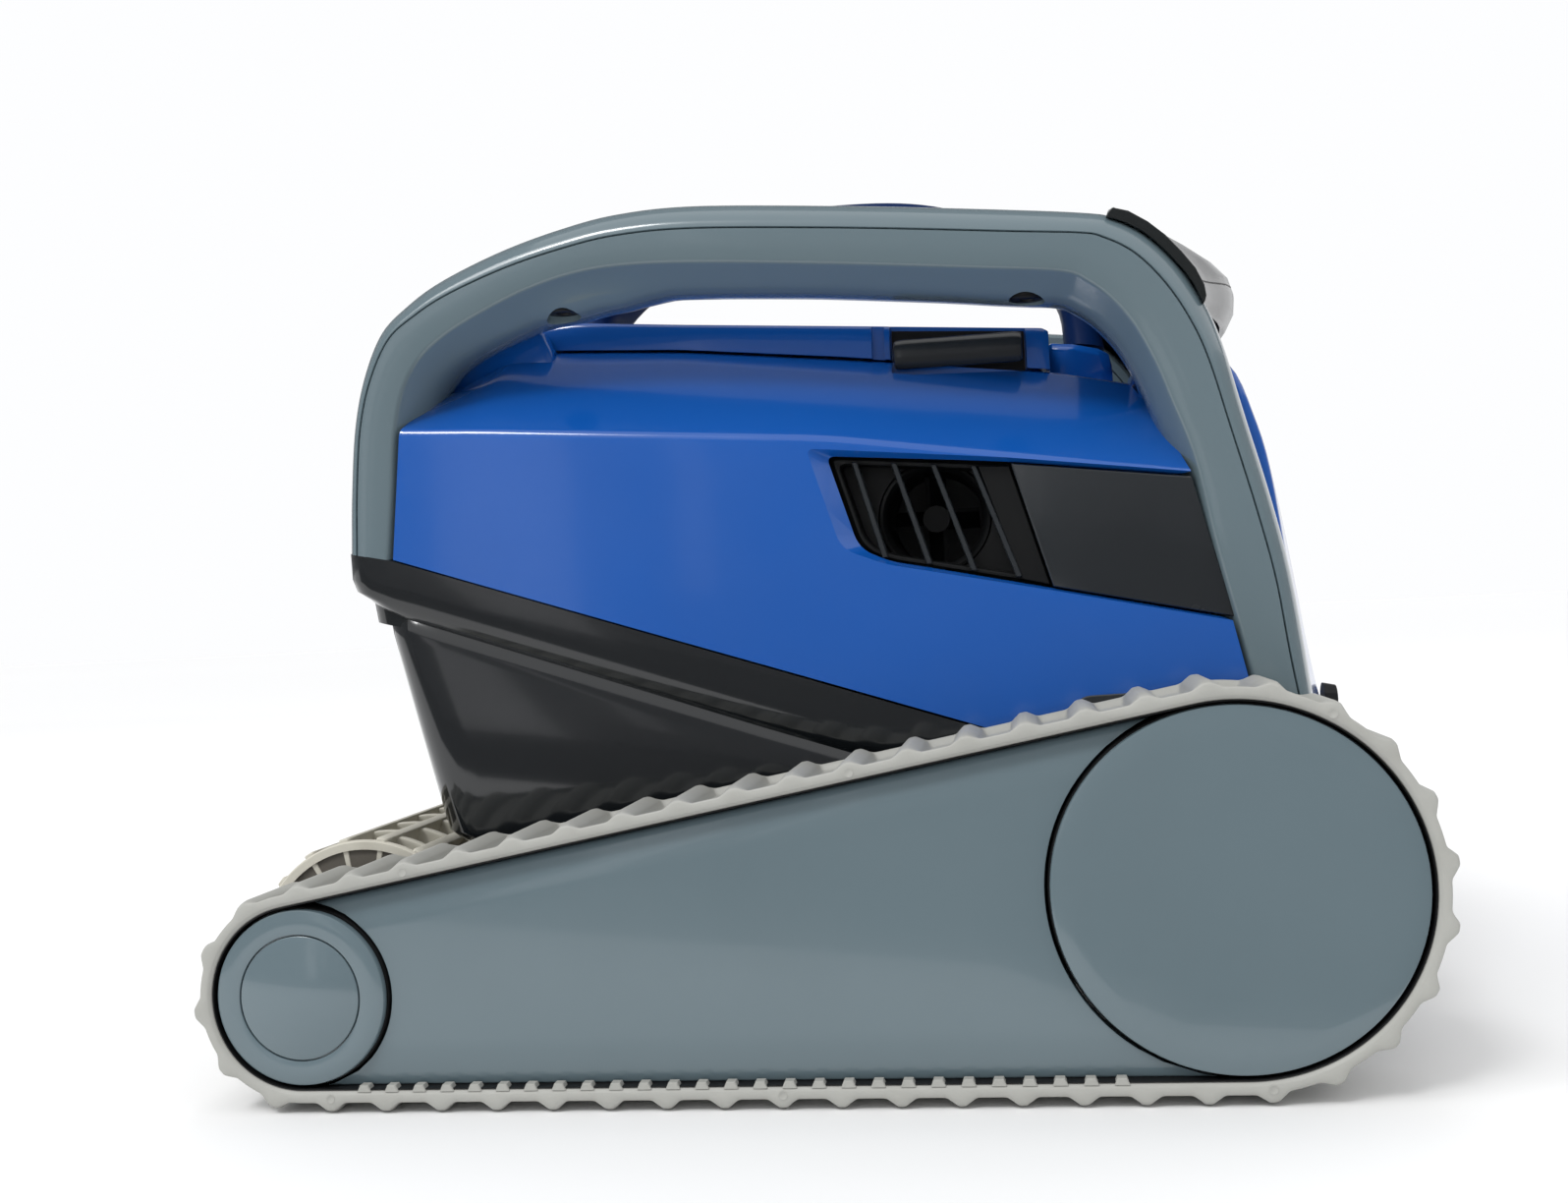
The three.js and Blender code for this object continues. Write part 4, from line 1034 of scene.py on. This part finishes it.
# ---- brush ----
def build_brush():
    cx, cz = BRUSH
    core_r, fins, cells = BRUSH_R - 14.8, 18, 12
    pitch = 290 / cells

    def at(radius, angle, y):
        return (cx + radius * cos(angle), y, cz + radius * sin(angle))

    core = [(5.7, -147.6), (core_r - 0.6, -147.6), (core_r, -147), (core_r, 147), (core_r - 0.6, 147.6),
            (5.7, 147.6)]
    piece("brush_core_skin", lathe(core, BRUSH, 96), TAUPE, "brush_roller", "brush_core", "brush_core")
    # a fin's section: radius and half its thickness
    fin = [(core_r - 0.4, 2.2), (core_r + 1.2, 1.5), (core_r + 5, 1.2), (BRUSH_R - 4.5, 1.3),
           (BRUSH_R - 2, 1.6), (BRUSH_R - 0.9, 2.1), (BRUSH_R - 0.25, 2), (BRUSH_R, 1.5)]
    prof = [(r, -w) for r, w in fin] + [(r, w) for r, w in reversed(fin)]
    turn = 2 * pi / fins
    parts = []
    for i in range(fins):
        loops = []
        for y in (-147.1, -146.8, -146.2, *np.linspace(-140, 140, 15), 146.2, 146.8, 147.1):
            tip = max(0, abs(y) - 146.2) / 0.9
            loops.append([at(r - 0.5 * tip * (r > BRUSH_R - 3), i * turn + t * (1 - 0.3 * tip) / r, y)
                          for r, t in prof])
        parts.append(loops_mesh(loops))
        for k in range(cells + 1):
            y0 = -145 + pitch * (k + 0.5 * (i % 2))
            if abs(y0) > 140:
                continue
            wall = [(r, y0 + w * 0.95) for r, w in fin] + [(r, y0 - w * 0.95) for r, w in reversed(fin)]
            wall = [(r - 1, max(-147.8, min(147.8, y))) for r, y in wall]
            wall[0] = (core_r - 0.6, wall[0][1])
            wall[-1] = (core_r - 0.6, wall[-1][1])
            loops = [[at(r, (i + f) * turn, y) for r, y in wall] for f in np.linspace(0.02, 0.98, 5)]
            parts.append(loops_mesh(loops))
    for side, s in SIDES:
        web = [(core_r - 2, 146.9), (core_r - 2, 145.4), (BRUSH_R - 3, 145.4), (BRUSH_R - 3, 146.4),
               (core_r + 4, 146.9)]
        piece(f"brush_end_{side}", lathe(web, BRUSH, 96, s), TAUPE, "brush_roller", "brush_core", sharp=40)
        ring = [(BRUSH_R - 4.6, 147.9), (BRUSH_R - 4.6, 145.6), (BRUSH_R - 1.8, 145), (BRUSH_R - 1.1, 145.6),
                (BRUSH_R - 1.2, 147.2), (BRUSH_R - 1.8, 147.9)]
        parts.append(lathe(ring, BRUSH, 96, s))
    piece("brush_sleeve_skin", joined(parts), SLEEVE,
          "brush_roller", "brush_rubber", "brush_sleeve", sharp=45)


# ---- latches ----
def build_latches():
    outline = np.array([(-100.4, 253.6), (-104.4, 253.2), (-105.9, 254.8), (-106.5, 258), (-106.2, 261.4),
                        (-104.6, 264), (-102.4, 264.8), (-100.4, 264.9)])
    mid = np.array((-102.8, 259))
    loops = []
    for x, k in ((36.2, 0.86), (37.2, 0.97), (40, 1), (60.5, 1), (81, 1), (83.8, 0.97), (84.8, 0.86)):
        loops.append([(x, *p) for p in mid + (outline - mid) * k])
    for side, s in SIDES:
        piece(f"lid_latch_{side}_skin", on_side(loops_mesh(loops), s), CHAR,
              f"latch_{side}", "charcoal_plastic", f"lid_latch_{side}", sharp=50, bevel=0.6)


# ---- carried over CAD nodes ----
def dress(node, mat, bevel, segments=2):
    """Gives a CAD part that shows as it is its finish and rounded edges."""
    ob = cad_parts[node]
    for slot in ob.material_slots:
        slot.material = mat
    if not ob.material_slots:
        ob.data.materials.append(mat)
    if bevel:
        edge(ob, bevel, segments, 35)


def dress_cad():
    for side, _ in SIDES:
        for end in ("front", "rear"):
            dress(f"arch_screw_{end}_{side}", STEEL, 0.3)
        dress(f"track_frame_{side}", MATT, 1.2)
        dress(f"impeller_{side}", DARK, 0.3)
        dress(f"drive_axle_{side}", STEEL, 0.4)
        dress(f"idler_axle_{side}", STEEL, 0.3)
        dress(f"axle_bush_{side}", STEEL, 0.3)
        dress(f"filter_panel_{side}", MESH, 0.0)
    for end in ("front", "rear"):
        dress(f"filter_panel_{end}", MESH, 0.0)
        dress(f"inlet_flap_{end}", CHAR, 0.4)
    dress("filter_basket", CHAR, 0.8)
    dress("basket_grip", BLUE, 1.0, 3)
    dress("motor_unit", MOTOR, 1.0)
    dress("lid_hinge_pin", STEEL, 0.3)
    dress("lid_gasket", SEAL, 0.5)
    dress("brush_axle", STEEL, 0.3)
    dress("cable_gland", MATT, 0.6, 3)


# ---- stage ----
def stage_plane(name, corners, scale, low, high, rough):
    """A flat studio surface, in metres, whose shade drifts between two tones."""
    mat, nt, bsdf = new_material(name)
    noise = add_node(nt, "TexNoise", Scale=scale)
    ramp = two_tones(nt, noise.outputs["Fac"], low, high)
    nt.links.new(ramp.outputs["Color"], bsdf.inputs["Base Color"])
    bsdf.inputs["Roughness"].default_value = rough
    me = bpy.data.meshes.new(name)
    me.from_pydata(corners, [], [tuple(range(len(corners)))])
    me.materials.append(mat)
    ob = new_object(name, me)
    return ob, bsdf


def build_stage():
    corners = [(-14, -14, 0), (14, -14, 0), (14, 14, 0), (-14, 14, 0)]
    _, bsdf = stage_plane("floor", corners, 3, (0.80,) * 3, (0.84,) * 3, 0.85)
    bsdf.inputs["Specular IOR Level"].default_value = 0.2


def card(name, corners, shade):
    """Studio card that only shows as a soft reflection."""
    tones = [(shade * k, shade * k, shade * (k + 0.02)) for k in (0.9, 1.1)]
    ob, _ = stage_plane(name, corners, 1.3, *tones, 0.9)
    ob.visible_camera = False
    ob.visible_diffuse = False
    ob.visible_shadow = False


def upright(x0, x1, y0, y1, z0, z1):
    return [(x0, y0, z0), (x1, y1, z0), (x1, y1, z1), (x0, y0, z1)]


def area(name, loc, target, size, power):
    light = bpy.data.lights.new(name, "AREA")
    light.shape = "RECTANGLE"
    light.size, light.size_y = size
    light.energy = power
    ob = new_object(name, light)
    ob.location = loc
    ob.rotation_euler = (Vector(target) - Vector(loc)).to_track_quat("-Z", "Y").to_euler()
    return ob


def build_lights():
    world = bpy.data.worlds.new("studio")
    bpy.context.scene.world = world
    world.use_nodes = True
    bg = world.node_tree.nodes["Background"]
    bg.inputs["Color"].default_value = (0.985, 0.99, 1.0, 1)
    bg.inputs["Strength"].default_value = 1.0
    area("key", (-1.3, -1.3, 2.2), (0, 0, 0.15), (1.0, 1.0), 16)
    area("top", (0.2, 0.9, 2.6), (0, 0, 0.2), (1.4, 1.4), 10).visible_glossy = False
    sun = bpy.data.lights.new("sun", "SUN")
    sun.energy = 0.9
    sun.angle = radians(14)
    sun.specular_factor = 0.25
    new_object("sun", sun).rotation_euler = (radians(34), radians(-22), 0)
    wall = 3.2
    card("card_front", upright(-wall, wall, -2.6, -2.6, 0.0, 1.5), 0.22)
    card("card_back_left", upright(-wall, -0.5, 2.6, 2.6, 0.0, 7.5), 0.14)
    card("card_back_right", upright(-0.5, wall, 2.6, 2.6, 1.3, 7.5), 0.12)
    card("card_left", upright(-wall, -wall, -2.6, 2.6, 0.0, 6.5), 0.22)
    card("card_right", upright(wall, wall, -2.6, 2.6, 0.0, 1.5), 0.22)
    # a dark mat just over the floor; its outline gives the edge in the near panel's reflection
    mat = [(-wall, -2.6), (-wall, -0.90), (-0.30, -0.56), (0.06, -0.40), (0.13, -0.285), (0.30, -0.245),
           (wall, -0.245), (wall, -2.6)]
    card("card_mat", [(x, y, 0.001) for x, y in mat], 0.10)
    card("card_pale_a", upright(-0.98, -0.72, -2.5, -2.5, 0.0, 1.3), 0.75)
    card("card_pale_b", upright(-0.53, -0.46, -2.5, -2.5, 0.2, 1.3), 0.6)
    bpy.context.scene.view_settings.view_transform = "Standard"


def build_camera():
    """The photo's camera, fitted to it: a focal length of 1697 pixels on a photo 1596 wide."""
    cam = bpy.data.cameras.new("camera")
    cam.sensor_width = 36.0
    cam.lens = 1697.0 / 1596.0 * 36.0
    cam.clip_start = 0.01
    ob = new_object("camera", cam)
    yaw, pitch, roll = radians(8.19), radians(0.26), radians(-2.90)
    look = Vector((-sin(yaw) * cos(pitch), cos(yaw) * cos(pitch), sin(pitch)))
    right = Vector((cos(yaw), sin(yaw), 0))
    up = right.cross(look)
    right, up = right * cos(roll) + up * sin(roll), up * cos(roll) - right * sin(roll)
    rot = Matrix((right, up, -look)).transposed()
    ob.matrix_world = Matrix.Translation((0.0807, -0.740, 0.1643)) @ rot.to_4x4()
    bpy.context.scene.camera = ob


build_camera()
build_lights()
build_stage()
build_arches()
build_upper_shell()
build_outlets()
build_hinge_covers()
build_lower_shell()
build_end_panels()
build_lid()
build_bow()
build_hood()
build_tracks()
build_track_panels()
build_wheels()
build_brush()
build_latches()
dress_cad()
